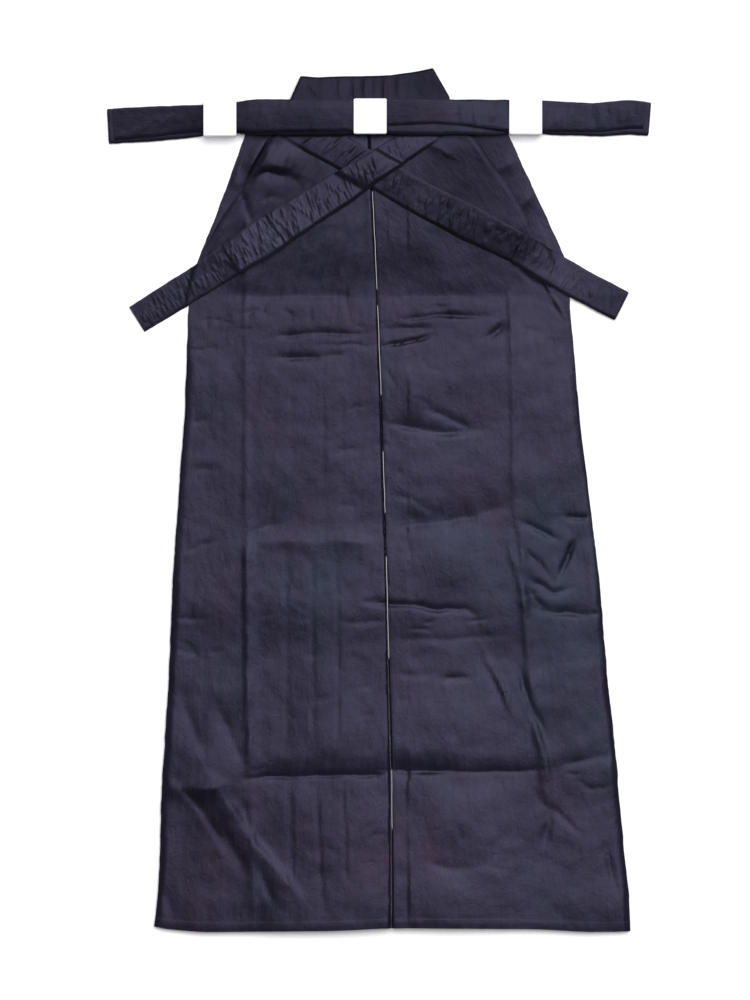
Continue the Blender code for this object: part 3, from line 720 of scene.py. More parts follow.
def makeFront(name, node, side):
    # flat outer side down, each pleat folded up in three, the side edge plain
    look = frontPanels
    t = look["thickness"]
    flat = t / 2 + 0.02
    down = panelRows(look)
    edge = edgeReach(frontSides, side, down)
    pleats = look["pleats"][side]
    levels = [np.full(down.shape, flat + (t + look["layerGap"]) * level) for level in range(3)]
    first = 4 + onLine(pleats[0].waistOffset + pleats[0].waistDepth, pleats[0].hemOffset + pleats[0].hemDepth,
                       down)
    shares = evenly(look["sideColumns"])
    offsets = [edge[:, None] + (first - edge)[:, None] * shares]
    heights = [np.full(offsets[0].shape, flat)]
    for pleat in pleats:
        place = onLine(pleat.waistOffset, pleat.hemOffset, down)
        depth = onLine(pleat.waistDepth, pleat.hemDepth, down)
        low, middle, high = levels
        # each run's start and end, height and columns, then the fold that follows it
        for start, end, level, count, fold in (
                (place + 3, place + 1, low, 3, (place, low, middle, -1)),
                (place + 1, place + depth - 1, middle, 7, (place + depth, middle, high, 1)),
                (place + depth - 1, place + 1, high, 7, None)):
            offsets.append(start[:, None] + (end - start)[:, None] * evenly(count))
            heights.append(across(level, count))
            if fold:
                x, z = halfTurn(*fold, look["foldSteps"])
                offsets.append(x)
                heights.append(z)
        offsets.append((place - look["turnIn"])[:, None])
        heights.append(low[:, None])
    offsets = np.concatenate(offsets + [np.full((len(down), 1), 0.15)], 1)
    z = np.concatenate(heights + [levels[0][:, None]], 1)
    downs = across(down, offsets.shape[1])
    x = centreX(downs) + side * offsets
    relief = creaseRelief(x, downs, look["creases"])
    relief += look["unevenness"] * (roundNoise(x, downs, 14, 21) + 1)
    inside = np.clip((edge[:, None] - offsets) / 6, 0, 1)
    topOnly = np.zeros(offsets.shape)
    topOnly[:, :look["sideColumns"]] = 1 - shares ** 6
    z = z + np.maximum(relief * inside * topOnly, 0)
    points = np.stack([x, yOf(x, downs), z], 2)
    length = np.cumsum(np.hypot(np.diff(x, axis=1, prepend=x[:, :1]), np.diff(z, axis=1, prepend=z[:, :1])),
                       axis=1)
    piece = clothWall(name, points, length * side, downs, t, bodyFinish)
    markLaid(points[..., 0], points[..., 1], z + t / 2)
    standFor(node)
    return piece


frontLeft = makeFront("frontLeft", "front_left", -1)
frontRight = makeFront("frontRight", "front_right", 1)
print("fronts folded:", len(frontLeft.data.polygons) + len(frontRight.data.polygons), "faces")


gussets = {"thickness": 0.9, "gap": 0.25, "crotchDown": 560, "hemShort": 8, "fromCentre": 2,
           "topWidth": 14, "hemWidth": 114, "columns": 16, "rows": 60}


def makeGusset(name, node, side):
    # the inner leg wedge, between the front and the back
    look = gussets
    down = np.linspace(look["crotchDown"], hemDeepest - look["hemShort"], look["rows"])
    share = (down - look["crotchDown"]) / (hemDeepest - look["crotchDown"])
    width = look["topWidth"] + (look["hemWidth"] - look["topWidth"]) * share
    offset = look["fromCentre"] + width[:, None] * evenly(look["columns"])
    x = centreX(down)[:, None] + side * offset
    downs = across(down, look["columns"])
    y = yOf(x, downs)
    z = restOn(x, y, 5, 5) + look["gap"] + look["thickness"] / 2
    markLaid(x, y, z + look["thickness"] / 2)
    piece = clothWall(name, np.stack([x, y, z], 2), x, downs, look["thickness"], innerFinish)
    standFor(node)


makeGusset("gussetLeft", "gusset_left", -1)
makeGusset("gussetRight", "gusset_right", 1)
print("gussets laid")


backPanels = {
    "thickness": 0.8, "layerGap": 0.2, "topColumns": 98, "foldSteps": 4, "bridge": 36, "soft": 36,
    # row spacing by distance down, closest where the folds are
    "rowSpacing": [(-3, 1.9), (60, 1.9), (150, 2.6), (192, 2.6), (204, 1.8), (288, 1.9), (310, 3.4),
                   (345, 2.7), (375, 2.7), (400, 3.7), (440, 3.4), (475, 2.5), (520, 2.5), (545, 3.3),
                   (573, 2.1), (612, 2.2), (640, 3.5), (760, 3.5), (782, 1.9), (800, 1.9), (825, 3.3),
                   (989, 3.4)],
    "pleatWaist": 30, "pleatHem": 60, "pleatDrop": 4.2, "pleatLift": 4, "pleatReach": 175,
    "edgeDip": 0.7, "dipReach": 4.5, "edgeFall": 10, "edgeStand": 0.5, "openReach": 13,
    "seamThick": 2.6, "seamReach": 5, "hemTurn": 11.5, "hemRise": 0.25, "stitchSink": 0.22,
    "stitchReach": 1.6, "closerEdges": 0.045, "easing": 0.5, "faceStart": 1.6, "turnedStart": 1.2,
    "insideStart": 0.3, "foldClear": 1.5,
    # uneven heights: how high, wave length, seed
    "unevenness": [(0.3, 16, 5), (0.9, 52, 8)], "fineUnevenness": [(0.13, 5.5, 6)],
    # how the cross folds and the creases stray from their lines: how far, wave length, seed
    "foldWander": [(1.4, 19, 95), (0.6, 6, 96)], "creaseSide": [(1.3, 13, 91), (0.5, 5, 92)],
    "creaseDown": [(1.3, 15, 93), (0.5, 5, 94)],
    # down, lift of the cloth between its cross folds, width of the open pleat line
    "lifts": [(-3, 0.4, 0.4), (5, 1.6, 0.4), (15, 2.8, 0.4), (60, 2.9, 0.4), (110, 2.7, 0.5),
              (200, -2.6, 0.6), (208, -0.8, 0.6), (235, 1.4, 0.6), (300, 3.4, 0.6), (360, 3.4, 0.7),
              (420, 4.6, 0.7), (480, 3.6, 0.7), (530, 4.8, 0.8), (582, 5.8, 0.9), (650, 5, 1.6),
              (700, 5.6, 2.6), (770, 7.4, 3), (797, 6.6, 2), (830, 6.4, 2.2), (900, 7, 2.8),
              (950, 7.8, 3), (982, 7.4, 3), (989, 6.4, 3)],
    # how far each opening's edge stands off the front
    "openEdge": {-1: [(-3, 3.4), (20, 4.2), (46, 3.6), (62, 1.6), (90, 0.9), (160, 0.5), (200, 0)],
                 1: [(-3, 0.8), (20, 1.1), (46, 0.9), (90, 0.5), (160, 0.3), (200, 0)]},
    # small marks of folding: how many, the cross folds that they gather at, and how widely
    "smallMarks": 120, "markFolds": [204, 245, 270, 365, 480, 590, 610, 690, 800, 850], "markSpread": 34,
    "markRange": (212, 965),
}

backCreases = creaseList([
    # first cross fold, and the creases just below it
    (0.5, 7, 2, (-164, 203), (-98, 201), (-9, 202)),
    (0.4, 7, 2, (-1, 202), (76, 201), (159, 204)),
    (0.9, 2.4, 2.4, (-160, 206), (-162, 228), (-164, 252)),
    (0.8, 2, 2.4, (-52, 206), (-53, 232)),
    (0.6, 2, 2.4, (-84, 206), (-86, 238)),
    (0.7, 3, 3, (-122, 214), (-108, 224), (-112, 238)),
    (0.6, 3, 2, (-176, 226), (-150, 218), (-132, 226)),
    (0.5, 3, 3, (44, 210), (62, 216), (96, 212)),
    (2.2, 4.5, 2.2, (26, 229), (84, 224), (138, 227)),
    (1.9, 6, 4, (0, 242), (38, 240), (76, 241)),
    (1.7, 5, 3, (-135, 252), (-86, 247), (-9, 247)),
    (3, 3.4, 1.9, (5, 263), (30, 260), (67, 249)),
    (0.7, 3, 2, (-78, 262), (-40, 260), (-4, 263)),
    (2.4, 5, 4, (-131, 277), (-98, 277), (-60, 276)),
    (0.7, 4, 3, (-61, 274), (-42, 272)),
    (1.2, 5, 3, (-234, 270), (-216, 267), (-197, 263)),
    (0.8, 4, 3, (-232, 232), (-205, 228), (-176, 236)),
    (2.8, 5, 5, (131, 253), (148, 244), (160, 228)),
    (0.7, 4, 3, (175, 241), (190, 242), (203, 246)),
    # the wide middle
    (2.6, 9, 3, (8, 357), (38, 365), (79, 371), (125, 368)),
    (2, 6, 3, (60, 340), (94, 356), (118, 366)),
    (1, 5, 2.5, (-54, 394), (-38, 392), (-22, 392)),
    (0.8, 5, 3, (-233, 358), (-221, 356), (-210, 352)),
    (0.8, 4, 2.5, (-231, 417), (-206, 413)),
    (1.2, 7, 4, (-168, 498), (-145, 488), (-118, 481)),
    (3.2, 18, 7, (20, 486), (76, 480), (113, 475), (159, 460)),
    (0.9, 5, 3, (14, 447), (40, 452), (70, 470)),
    (2.8, 4.5, 3, (174, 478), (200, 492), (223, 504)),
    (2.8, 3, 3, (246, 498), (236, 520), (220, 553)),
    (2.2, 4, 3, (176, 512), (196, 530), (214, 552)),
    (1.8, 4, 3, (182, 556), (190, 574), (206, 588)),
    (2.2, 4, 3, (228, 473), (246, 476), (262, 475)),
    (-2.4, 8, 14, (-158, 505), (-73, 503), (6, 505)),
    (0.8, 5, 3, (-247, 520), (-220, 508), (-196, 504)),
    (2.2, 4, 3, (178, 546), (216, 569), (240, 560)),
    (2.6, 8, 3, (181, 577), (202, 592), (268, 596)),
    (1.2, 3, 2.5, (262, 592), (276, 596)),
    # second cross fold, half way down
    (3, 4.6, 3.2, (-14, 581), (16, 582), (53, 584), (73, 589), (107, 587), (121, 595)),
    (0.9, 6, 3, (-46, 605), (-12, 604), (13, 603)),
    (1, 2.6, 2, (38, 613), (66, 613)),
    (0.9, 2, 2, (53, 603), (62, 604), (71, 599)),
    (0.9, 3, 2, (108, 604), (137, 601)),
    (0.9, 6, 4, (16, 626), (88, 626), (156, 619)),
    (2, 4, 2.2, (74, 676), (95, 675), (116, 673)),
    (1.2, 5, 2.5, (20, 668), (48, 672), (74, 668)),
    (0.7, 3, 2, (-32, 686), (-7, 686)),
    (0.6, 3, 2, (-30, 715), (-18, 720), (-4, 717)),
    (0.8, 4, 3, (-254, 600), (-205, 600)),
    (1.1, 3.4, 2.4, (-254, 636), (-237, 642), (-219, 650)),
    (0.8, 3, 2.4, (-246, 628), (-226, 640)),
    (-3, 3.6, 2.6, (127, 636), (148, 681), (170, 724)),
    (1.6, 2.6, 5, (131, 644), (146, 682), (160, 712)),
    (3.2, 5, 3, (170, 656), (186, 704), (206, 750)),
    (-2.2, 3, 3, (190, 726), (206, 775), (214, 812)),
    (1.4, 8, 8, (-243, 690), (-232, 735), (-214, 770)),
    (1.6, 9, 7, (-205, 700), (-185, 742), (-166, 787)),
    # third cross fold, the deepest
    (1.9, 12, 22, (-182, 804), (-157, 796), (-98, 794), (4, 792), (20, 791)),
    (2.2, 4, 2.8, (-166, 798), (-98, 795), (12, 793)),
    (2.3, 13, 22, (4, 792), (73, 789), (150, 789), (212, 786)),
    (3.8, 13, 3.5, (8, 788), (40, 788), (78, 789)),
    (1.4, 4, 2.4, (50, 789), (120, 790), (204, 788)),
    (2.2, 10, 6, (218, 784), (255, 775), (294, 766)),
    (-3.4, 10, 12, (-268, 808), (-247, 810), (-218, 811), (-180, 806)),
    (-3.8, 5, 24, (-200, 804), (-160, 872), (-96, 946)),
    (1.8, 10, 3, (-250, 804), (-220, 838), (-174, 912)),
    (1.8, 6, 4, (-158, 892), (-140, 930), (-126, 960)),
    (1.6, 6, 5, (-196, 846), (-184, 880), (-160, 920)),
    (1.6, 10, 10, (-276, 930), (-262, 950), (-252, 986)),
    (1.9, 5, 5, (190, 810), (209, 838), (211, 853), (201, 900)),
    (1.2, 3, 3, (206, 826), (224, 844), (254, 868)),
    (1.6, 5, 4, (281, 884), (289, 919), (300, 950)),
    (1.2, 4, 4, (246, 800), (262, 812), (290, 806)),
    (0.8, 6, 5, (140, 846), (150, 870), (146, 900)),
    (1, 5, 5, (60, 900), (90, 912), (130, 905)),
    # the fronts' pleats showing through
    (0.8, 2, 1.8, (-115, 514), (-114, 627), (-114, 760)),
    (0.9, 2, 1.8, (-83, 514), (-82, 627), (-81, 760)),
    (0.8, 2, 1.8, (-52, 520), (-51, 627), (-50, 760)),
    (1.25, 2.2, 2, (-111, 803), (-109, 888), (-108, 966)),
    (1.4, 2.2, 2, (-78, 803), (-74, 875), (-70, 960)),
    (1.15, 2.2, 2, (-45, 803), (-42, 888), (-41, 930)),
    (0.35, 1.8, 1.8, (114, 485), (114, 541), (115, 612)),
    (0.35, 2, 1.8, (-109, 300), (-108, 370), (-107, 450)),
    (0.35, 2, 1.8, (-70, 290), (-69, 380), (-68, 470)),
    (0.3, 2, 1.8, (-46, 290), (-45, 380), (-44, 440)),
    # pressed lines down each side
    (-0.9, 5, 2.6, (-171, 70), (-164, 90), (-165, 206), (-165, 400), (-165, 500)),
    (-2.4, 7, 2.4, (-165, 500), (-164, 600), (-163, 702), (-160, 790)),
    (-1.2, 5, 2.6, (-160, 800), (-157, 888), (-156, 980)),
    (-1.3, 5, 3, (160, 182), (164, 243), (166, 330), (167, 454)),
    (-1.5, 4, 4.5, (160, 500), (177, 562), (182, 606)),
    (-1.6, 5, 3, (168, 460), (176, 503), (181, 578), (187, 677), (201, 782), (207, 826)),
    # round the back ties and the openings
    (-4.4, 15, 5, (-158, 48), (-145, 40), (-129, 39), (-112, 43), (-104, 47)),
    (3.4, 2.6, 7, (-156, 54), (-145, 47), (-129, 46), (-112, 50), (-104, 54)),
    (2.6, 5, 3.4, (-172, 66), (-166, 88), (-159, 112)),
    (1, 6, 5, (-150, 84), (-135, 78), (-118, 80)),
    (-3.2, 3.4, 3, (184, 170), (206, 183), (216, 202), (232, 226)),
    (2.4, 4, 3, (168, 162), (194, 184), (208, 201), (220, 218), (230, 230)),
    (1.4, 3, 2.4, (197, 184), (209, 202)),
    (-1.2, 5, 5, (46, 6), (74, 14), (98, 34)),
    (1, 6, 6, (88, 2), (112, 12), (126, 32)),
    (-1.6, 8, 10, (136, 22), (150, 28), (164, 34)),
    (1.8, 8, 8, (148, 36), (156, 50), (166, 66)),
    (-1.2, 7, 8, (160, 62), (172, 72), (184, 84)),
])
backSwells = [
    Swell(1.6, -205, 330, 34, 60), Swell(1.4, 215, 340, 36, 80), Swell(1.5, 60, 310, 70, 34),
    Swell(1.2, -110, 560, 60, 50), Swell(1.6, 90, 530, 60, 30), Swell(1.5, 240, 660, 40, 60),
    Swell(1.4, -215, 560, 36, 50), Swell(1.6, 90, 720, 80, 40), Swell(1.2, 110, 850, 80, 36),
    Swell(1.2, -60, 870, 40, 40), Swell(1.4, 252, 880, 34, 40), Swell(1.2, -205, 900, 24, 34),
    Swell(3, -216, 806, 36, 42), Swell(2.4, -120, 28, 26, 14), Swell(1.6, 92, 2, 60, 30),
    Swell(1, -40, 150, 80, 26),
]


def scatteredCreases(look, seed):
    # the many small marks of folding, mostly across and mostly near the cross folds
    chance = np.random.default_rng(seed)
    found = []
    for mark in range(look["smallMarks"]):
        down = chance.choice(look["markFolds"]) + chance.normal(0, look["markSpread"])
        down = np.clip(down, *look["markRange"])
        x = chance.uniform(-0.94, 0.94) * (240 + 0.055 * down)
        long = chance.uniform(5, 17)
        lean = chance.normal(0, 0.3) if chance.random() < 0.72 else chance.normal(1.45, 0.25)
        dx, dd = long * math.cos(lean), long * math.sin(lean)
        path = [(x - dx, down - dd), (x, down + chance.uniform(-2, 2)), (x + dx, down + dd)]
        sizes = [chance.uniform(*limits) for limits in ((0.15, 0.6), (2, 5), (1.6, 3.2))]
        found.append(Crease(*sizes, path))
    return found


def spacedRows(spacing, start):
    places = np.linspace(start, hemDeepest, 2000)
    passed = np.cumsum(1 / lookUp(spacing, places)) * (places[1] - places[0])
    return np.interp(np.linspace(passed[0], passed[-1], int(passed[-1]) + 1), passed, places)


def layInside(side, down, low, high, look, level=None, under=None):
    # one hidden layer of the centre pleat, from the line to its depth
    offsets = low[:, None] + (high - low)[:, None] * evenly(6)
    downs = across(down, offsets.shape[1])
    x = centreX(downs) + side * offsets
    y = yOf(x, downs)
    if under is None:
        z = smoothed(restOn(x, y, 6, 6).max(1), 6)[:, None] + look["layerGap"] + look["thickness"] / 2
        z = z + np.maximum(level[:, None] + creaseRelief(x, downs, backCreases) - look["pleatDrop"], 0)
    else:
        z = np.array([np.interp(*row) for row in zip(offsets, *under)]) + look["layerGap"] + look["thickness"]
    markLaid(x, y, z + look["thickness"] / 2)
    return offsets, z


def makeBack(name, node, side):
    look = backPanels
    t = look["thickness"]
    down = spacedRows(look["rowSpacing"], backStart)
    lift = smoothed(lookUp(look["lifts"], down), 3)
    slit = lookUp(look["lifts"], down, 2)
    edge = edgeReach(backSides, side, down)
    depth = onLine(look["pleatWaist"], look["pleatHem"], down)
    shares = evenly(look["topColumns"])
    shares = shares - look["closerEdges"] * np.sin(2 * np.pi * shares)
    offsets = edge[:, None] + (slit / 2 + look["faceStart"] - edge)[:, None] * shares
    downs = across(down, offsets.shape[1])
    x = centreX(downs) + side * offsets
    y = yOf(x, downs)
    fromEdge = edge[:, None] - offsets
    floor = restOn(x, y, look["bridge"], look["soft"]) + look["layerGap"] + t / 2
    floor += look["pleatLift"] * np.exp(-(offsets / look["pleatReach"]) ** 4)
    reach = depth - look["foldClear"]
    inside = layInside(side, down, depth * 0 + look["insideStart"], reach, look, level=lift)
    turned = layInside(side, down, slit / 2 + look["turnedStart"], reach, look, under=inside)
    tight = restOn(x, y, 2, 2) + look["layerGap"] + t / 2
    stand = lookUp(look["openEdge"][side], down)[:, None] * np.exp(-(fromEdge / look["openReach"]) ** 2)
    wander, strayX, strayDown = (mixedNoise(x, downs, look[way]) for
                                 way in ("foldWander", "creaseSide", "creaseDown"))
    rounding = 1 - (1 - np.clip(fromEdge / look["edgeFall"], 0, 1)) ** 2.5
    body = np.interp(downs + wander, down, lift) * (look["edgeStand"] + (1 - look["edgeStand"]) * rounding)
    relief = creaseRelief(x + strayX, downs + strayDown, backCreases + smallCreases)
    relief += swellRelief(x, downs, backSwells)
    relief += mixedNoise(x, downs, look["unevenness"]) + mixedNoise(x, downs / 2, look["fineUnevenness"])
    relief *= np.clip((fromEdge + 2) / 10, 0.15, 1)
    fromTurn = hemDown(x) - (waistY - y) - look["hemTurn"]       # the hem is turned up and stitched there
    relief += look["hemRise"] / (1 + np.exp(np.clip(fromTurn / 0.9, -40, 40)))
    relief -= look["stitchSink"] * np.exp(-(fromTurn / look["stitchReach"]) ** 2)
    # eased upwards where it would sink into what lies below
    free = (floor + body + stand + relief - tight) / look["easing"]
    z = tight + look["easing"] * (np.maximum(free, 0) + np.log1p(np.exp(-np.abs(free))))
    z -= look["edgeDip"] * np.clip(1 - (offsets - slit[:, None] / 2) / look["dipReach"], 0, 1) ** 2
    z = np.maximum(z, tight)
    # the side seam's turnings fill the edge from below
    filled = np.clip((z - tight) * 0.9, 0, look["seamThick"]) * np.exp(-(fromEdge / look["seamReach"]) ** 2)
    z -= filled / 2
    outerFold = halfTurn(slit / 2, z[:, -1], turned[1][:, 0], -1, look["foldSteps"])
    innerFold = halfTurn(depth, turned[1][:, -1], inside[1][:, -1], 1, look["foldSteps"])
    # the top, round the line into the turned layer, and round its depth into the one below
    allOffsets, allZ = (np.concatenate([*upper, lowest[:, ::-1]], 1) for
                        *upper, lowest in zip((offsets, z), outerFold, turned, innerFold, inside))
    downs = across(down, allOffsets.shape[1])
    x = centreX(downs) + side * allOffsets
    points = np.stack([x, yOf(x, downs), allZ], 2)
    weft = np.cumsum(np.abs(np.diff(allOffsets, axis=1, prepend=allOffsets[:, :1])), axis=1) * side
    count = offsets.shape[1]
    wall = np.full(allZ.shape, t)
    wall[:, :count] += filled
    piece = clothWall(name, points, weft, downs, wall, bodyFinish)
    markLaid(points[:, :count, 0], points[:, :count, 1], z + (t + filled) / 2)
    standFor(node)
    return piece


smallCreases = scatteredCreases(backPanels, 17)
beneath = laid["z"].copy()                  # both backs rest on the same ground
backLeft = makeBack("backLeft", "back_left", -1)
leftLaid = laid["z"]
laid["z"] = beneath
backRight = makeBack("backRight", "back_right", 1)
laid["z"] = np.maximum(laid["z"], leftLaid)
print("backs laid:", len(backLeft.data.polygons) + len(backRight.data.polygons), "faces")


board = {
    "thickness": 3.2, "edge": 2.2, "topHeight": 1.2, "gap": 0.25, "rows": 60, "columns": 130,
    "rounding": 3.2, "unevenness": 0.12,
    "top": [(-97, -72), (-73, -71), (-32, -72), (10, -73), (40, -77), (67, -81.8)],
    "middle": [(-109, -45), (-80, -45), (-34, -45), (8, -46), (50, -46), (87, -47)],
    "base": [(-119, -3.3), (-84, -3.3), (-36, -3.3), (6, -3.3), (52, -3.3), (94, -3.3)],
    # ribs of the quilted cover, then the creases of its corners
    "creases": creaseList([
        (-1.3, 2.6, 3.2, (-48, -72), (-48, -58), (-46, -40)),
        (-1.1, 2, 2.6, (-30, -72), (-30, -58), (-29, -40)),
        (-1.4, 3.4, 3.4, (-17, -73), (-17, -58), (-16, -40)),
        (-0.9, 3, 3, (-4, -73), (-4, -58), (-4, -44)),
        (-1.3, 3, 3.4, (8, -73), (8, -58), (8, -40)),
        (-1.1, 4, 4, (25, -75), (25, -58), (26, -42)),
        (-0.7, 5, 4, (-70, -70), (-68, -56), (-66, -42)),
        (0.9, 2.2, 2.2, (-93, -66), (-84, -52), (-74, -42)),
        (0.6, 3, 3, (44, -60), (50, -50), (58, -44)),
        (0.6, 2, 2, (58, -66), (66, -62), (74, -62)),
        (0.5, 2, 2, (62, -56), (72, -54), (82, -54)),
        (-0.5, 2.4, 2.4, (52, -74), (58, -70), (62, -62)),
    ]),
}


def makeBoard():
    # a stiff board in a cloth cover, low at its top edge and raised on the waist at its base
    look = board
    shares = evenly(look["columns"])
    rows = evenly(look["rows"])[:, None]
    upper, lower = np.clip(rows * 2, 0, 1), np.clip(rows * 2 - 1, 0, 1)
    x, down = (top + (middle - top) * upper + (base - middle) * lower for top, middle, base in zip(*(
        [np.interp(shares, evenly(len(look[name])), column) for column in np.array(look[name]).T]
        for name in ("top", "middle", "base"))))
    down = down + 0.5 * roundNoise(x, 0, 18, 61) * (1 - rows) ** 4
    y = waistY - down
    below = restOn(x, y, 4, 4).max(1)
    slope = np.linspace(look["topHeight"], below[-1], look["rows"])
    bottom = np.maximum(np.maximum.accumulate(smoothed(below, 6)), slope)[:, None] + look["gap"]
    toSide = np.minimum(x - x[:, :1], x[:, -1:] - x)
    toEnd = np.minimum(down - down[:1], down[-1:] - down)
    near = np.clip(np.minimum(toSide, toEnd) / look["rounding"], 0, 1)
    crown = np.sqrt(1 - (1 - near) ** 2)
    relief = creaseRelief(x, down, look["creases"]) + look["unevenness"] * roundNoise(x, down, 9, 62)
    relief *= crown
    thick = look["edge"] + (look["thickness"] - look["edge"]) * crown + relief
    thick = np.maximum(thick, look["edge"] * 0.6)
    piece = clothWall("koshiitaBoard", np.stack([x, y, bottom + thick / 2], 2), x, down, thick, boardFinish)
    markLaid(x, y, bottom + thick)
    standFor("koshiita")


makeBoard()
print("koshiita placed")


backTies = {
    "thickness": 1.2, "gap": 0.25, "spacing": 1.1, "columns": 33, "bridge": 3, "soft": 3, "stretch": 0,
    "unevenness": 0.22, "foldSteps": 5, "curlWidth": 3.8, "leftFlap": 146, "rightFlap": 140,
    "rightTuck": 60,
    # x, down and width along each middle line
    "leftRoute": [(-116, -18.5, 44), (-101, -10, 44), (-79, 3, 44), (-38, 27, 41), (3, 51, 40), (57, 82, 42),
                  (112, 110, 44), (177, 143, 38), (248, 185, 39), (300, 212, 39)],
    "rightRoute": [(71, -11, 34), (40, 10, 34), (-17, 48, 36), (-45, 66, 42), (-112, 108, 45),
                   (-146, 131, 47), (-176, 150, 43), (-216, 177, 38), (-300, 229, 37)],
    # each run's rise, lean and curl by distance along its route
    "leftOut": {
        "seed": 31, "rise": [(0, 0), (30, 0.1), (60, 1.2), (150, 1.3), (320, 1.4), (475, 0.6)],
        "tilt": [(0, 0), (30, 0.2), (50, 1.6), (90, 1.4), (130, -0.8), (240, -1.2), (295, -2.6),
                 (328, -2.8), (345, 0.4)],
        "curl": [(0, 2), (60, 2.8), (100, 2.6), (150, 2), (330, 1.4), (475, 0.6)],
        "puckers": [Pucker(37, 137, -0.6, 0.6, 30, 0.7, 1.8, 12, 0.3),
                    Pucker(150, 337, -0.7, 0.7, 120, 0.62, 1.2, 6.5, -0.15)]},
    "leftTurned": {
        "seed": 33, "tilt": [(329, 3), (420, 2), (475, 1)], "curl": [(0, 0.7), (475, 0.7)],
        "puckers": [Pucker(329, 475, -0.6, 0.6, 60, 0.36, 1.5, 8, -0.2)]},
    "rightUpper": {
        "seed": 45, "rise": [(0, 0), (14, 0.1), (40, 1), (90, 1), (200, 1.2), (290, 0.8)],
        "tilt": [(0, 0), (14, 0.2), (40, 1.6), (80, 2.4), (160, 3.4), (290, 4)],
        "curl": [(0, 1.4), (40, 2.2), (90, 2.6), (290, 2.4)],
        "puckers": [Pucker(6, 74, -0.7, 0.7, 22, 0.28, 1.6, 7, 0.4),
                    Pucker(86, 304, -0.7, 0.7, 138, 0.62, 1.25, 7, 0.2)]},
    "rightEnd": {
        "seed": 41, "tilt": [(230, -0.6), (290, -1.8), (440, -1.4)], "curl": [(230, 0.8), (440, 0.8)],
        "puckers": [Pucker(304, 440, -0.6, 0.6, 50, 0.45, 1.5, 8, 0.1)]},
}


def makeBackTieLeft():
    # out to its end, turned over, and back on itself
    look = backTies
    route = routePoints(look["leftRoute"])
    length = route[0][-1]
    out = layRun(route, look, 0, length, **look["leftOut"])
    flap = layRun(route, look, length, length - look["leftFlap"], **look["leftTurned"])
    piece = joinRuns("backTieLeft", [out, flap], look, tieFinish)
    standFor("back_tie_left")


def makeBackTieRight():
    # over the left tie, tucked back under itself, and out to its free end
    look = backTies
    route = routePoints(look["rightRoute"])
    length = route[0][-1]
    step = length - look["rightFlap"]
    lowest = layRun(route, look, step - look["rightTuck"], length, **look["rightEnd"])
    middle = layRun(route, look, step, step - look["rightTuck"], seed=43)
    upper = layRun(route, look, 0, step, **look["rightUpper"])
    piece = joinRuns("backTieRight", [upper, middle, lowest], look, paintedLightTieFinish)
    standFor("back_tie_right")


makeBackTieLeft()
makeBackTieRight()
print("back ties crossed")


def makeFrontTie():
    # each end goes out from the middle, turns, and comes back to its outer end
    look = frontTie
    middle = tieLength / 2
    bundles = []
    for side, far in ((-1, 0), (1, tieLength)):
        near = middle + side * look["middleGap"]
        bundles.append(layRun(tieRoute, look, far, near, seed=51 + side, shift=look["lowerShift"],
                              rise=look["lowerCurl"], curl=look["lowerCurl"]))
        bundles.append(layRun(tieRoute, look, near, far - side * look["endStep"], look["puckers"],
                              seed=53 + side, narrow=look["upperNarrow"], tilt=look["upperTilt"],
                              rise=look["upperCurl"], curl=look["upperCurl"]))
    leftLower, leftUpper, rightLower, rightUpper = bundles
    runs = [backwards(leftUpper), backwards(leftLower), waistRun, rightLower, rightUpper]
    piece = joinRuns("frontTie", runs, look, tieFinish)
    standFor("front_tie")
    return piece


floors["paper_band_centre"] = bandFloor("paper_band_centre")
frontTiePiece = makeFrontTie()
print("front tie folded:", len(frontTiePiece.data.polygons), "faces")


def makeBand(name, node):
    # a loop of paper right round the folded tie, a little narrower at its cut ends
    look = bands
    t = look["thickness"]
    low, high = (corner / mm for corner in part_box(node))
    xs = np.linspace(low.x, high.x, 27)
    fromEnd = np.clip(np.minimum(xs - xs[0], xs[-1] - xs) / 2, 0, 1)
    pinch = look["pinch"] * (1 - np.sqrt(1 - (1 - fromEnd) ** 2)) + t / 2
    below = restOn(*np.meshgrid(xs, np.linspace(low.y + 3, high.y - 3, 14)), 4, 4)
    top = below.max() + look["ease"] + t / 2
    bottom = floors[node] + t / 2 + 0.02
    radius = min((top - bottom) / 2 * 0.8, look["corner"])
    sine, cosine = (radius * way(np.linspace(0, math.pi / 2, 6)) for way in (np.sin, np.cos))
    points = []
    for x, inset in zip(xs, pinch):
        near, far = low.y + inset + radius, high.y - inset - radius
        flat = np.linspace(near, far, 18)
        # along the bottom, up the far side, back along the top and down the near side
        y = np.r_[flat, far + sine[1:], far + cosine, flat[-2::-1], near - sine[1:], near - cosine[:-1]]
        z = np.r_[flat * 0 + bottom, bottom + radius - cosine[1:], top - radius + sine, flat[1:] * 0 + top,
                  top - radius + cosine[1:], bottom + radius - sine[:-1]]
        points.append(np.stack([y * 0 + x, y, z], 1))
    points = np.array(points)
    steps = np.linalg.norm(np.diff(points, axis=1, prepend=points[:, :1]), axis=2)
    bow = look["bow"] * np.sin((points[..., 0] - xs[0]) / (xs[-1] - xs[0]) * math.pi)
    points[..., 2] += np.where(points[..., 2] > (top + bottom) / 2, bow, 0)
    piece = clothWall(name, points, np.cumsum(steps, axis=1), points[..., 0], t, bandFinish, ring=True)
    standFor(node)


for bandName, bandNode in bands["nodes"].items():
    makeBand(bandName, bandNode)
print("paper bands closed")


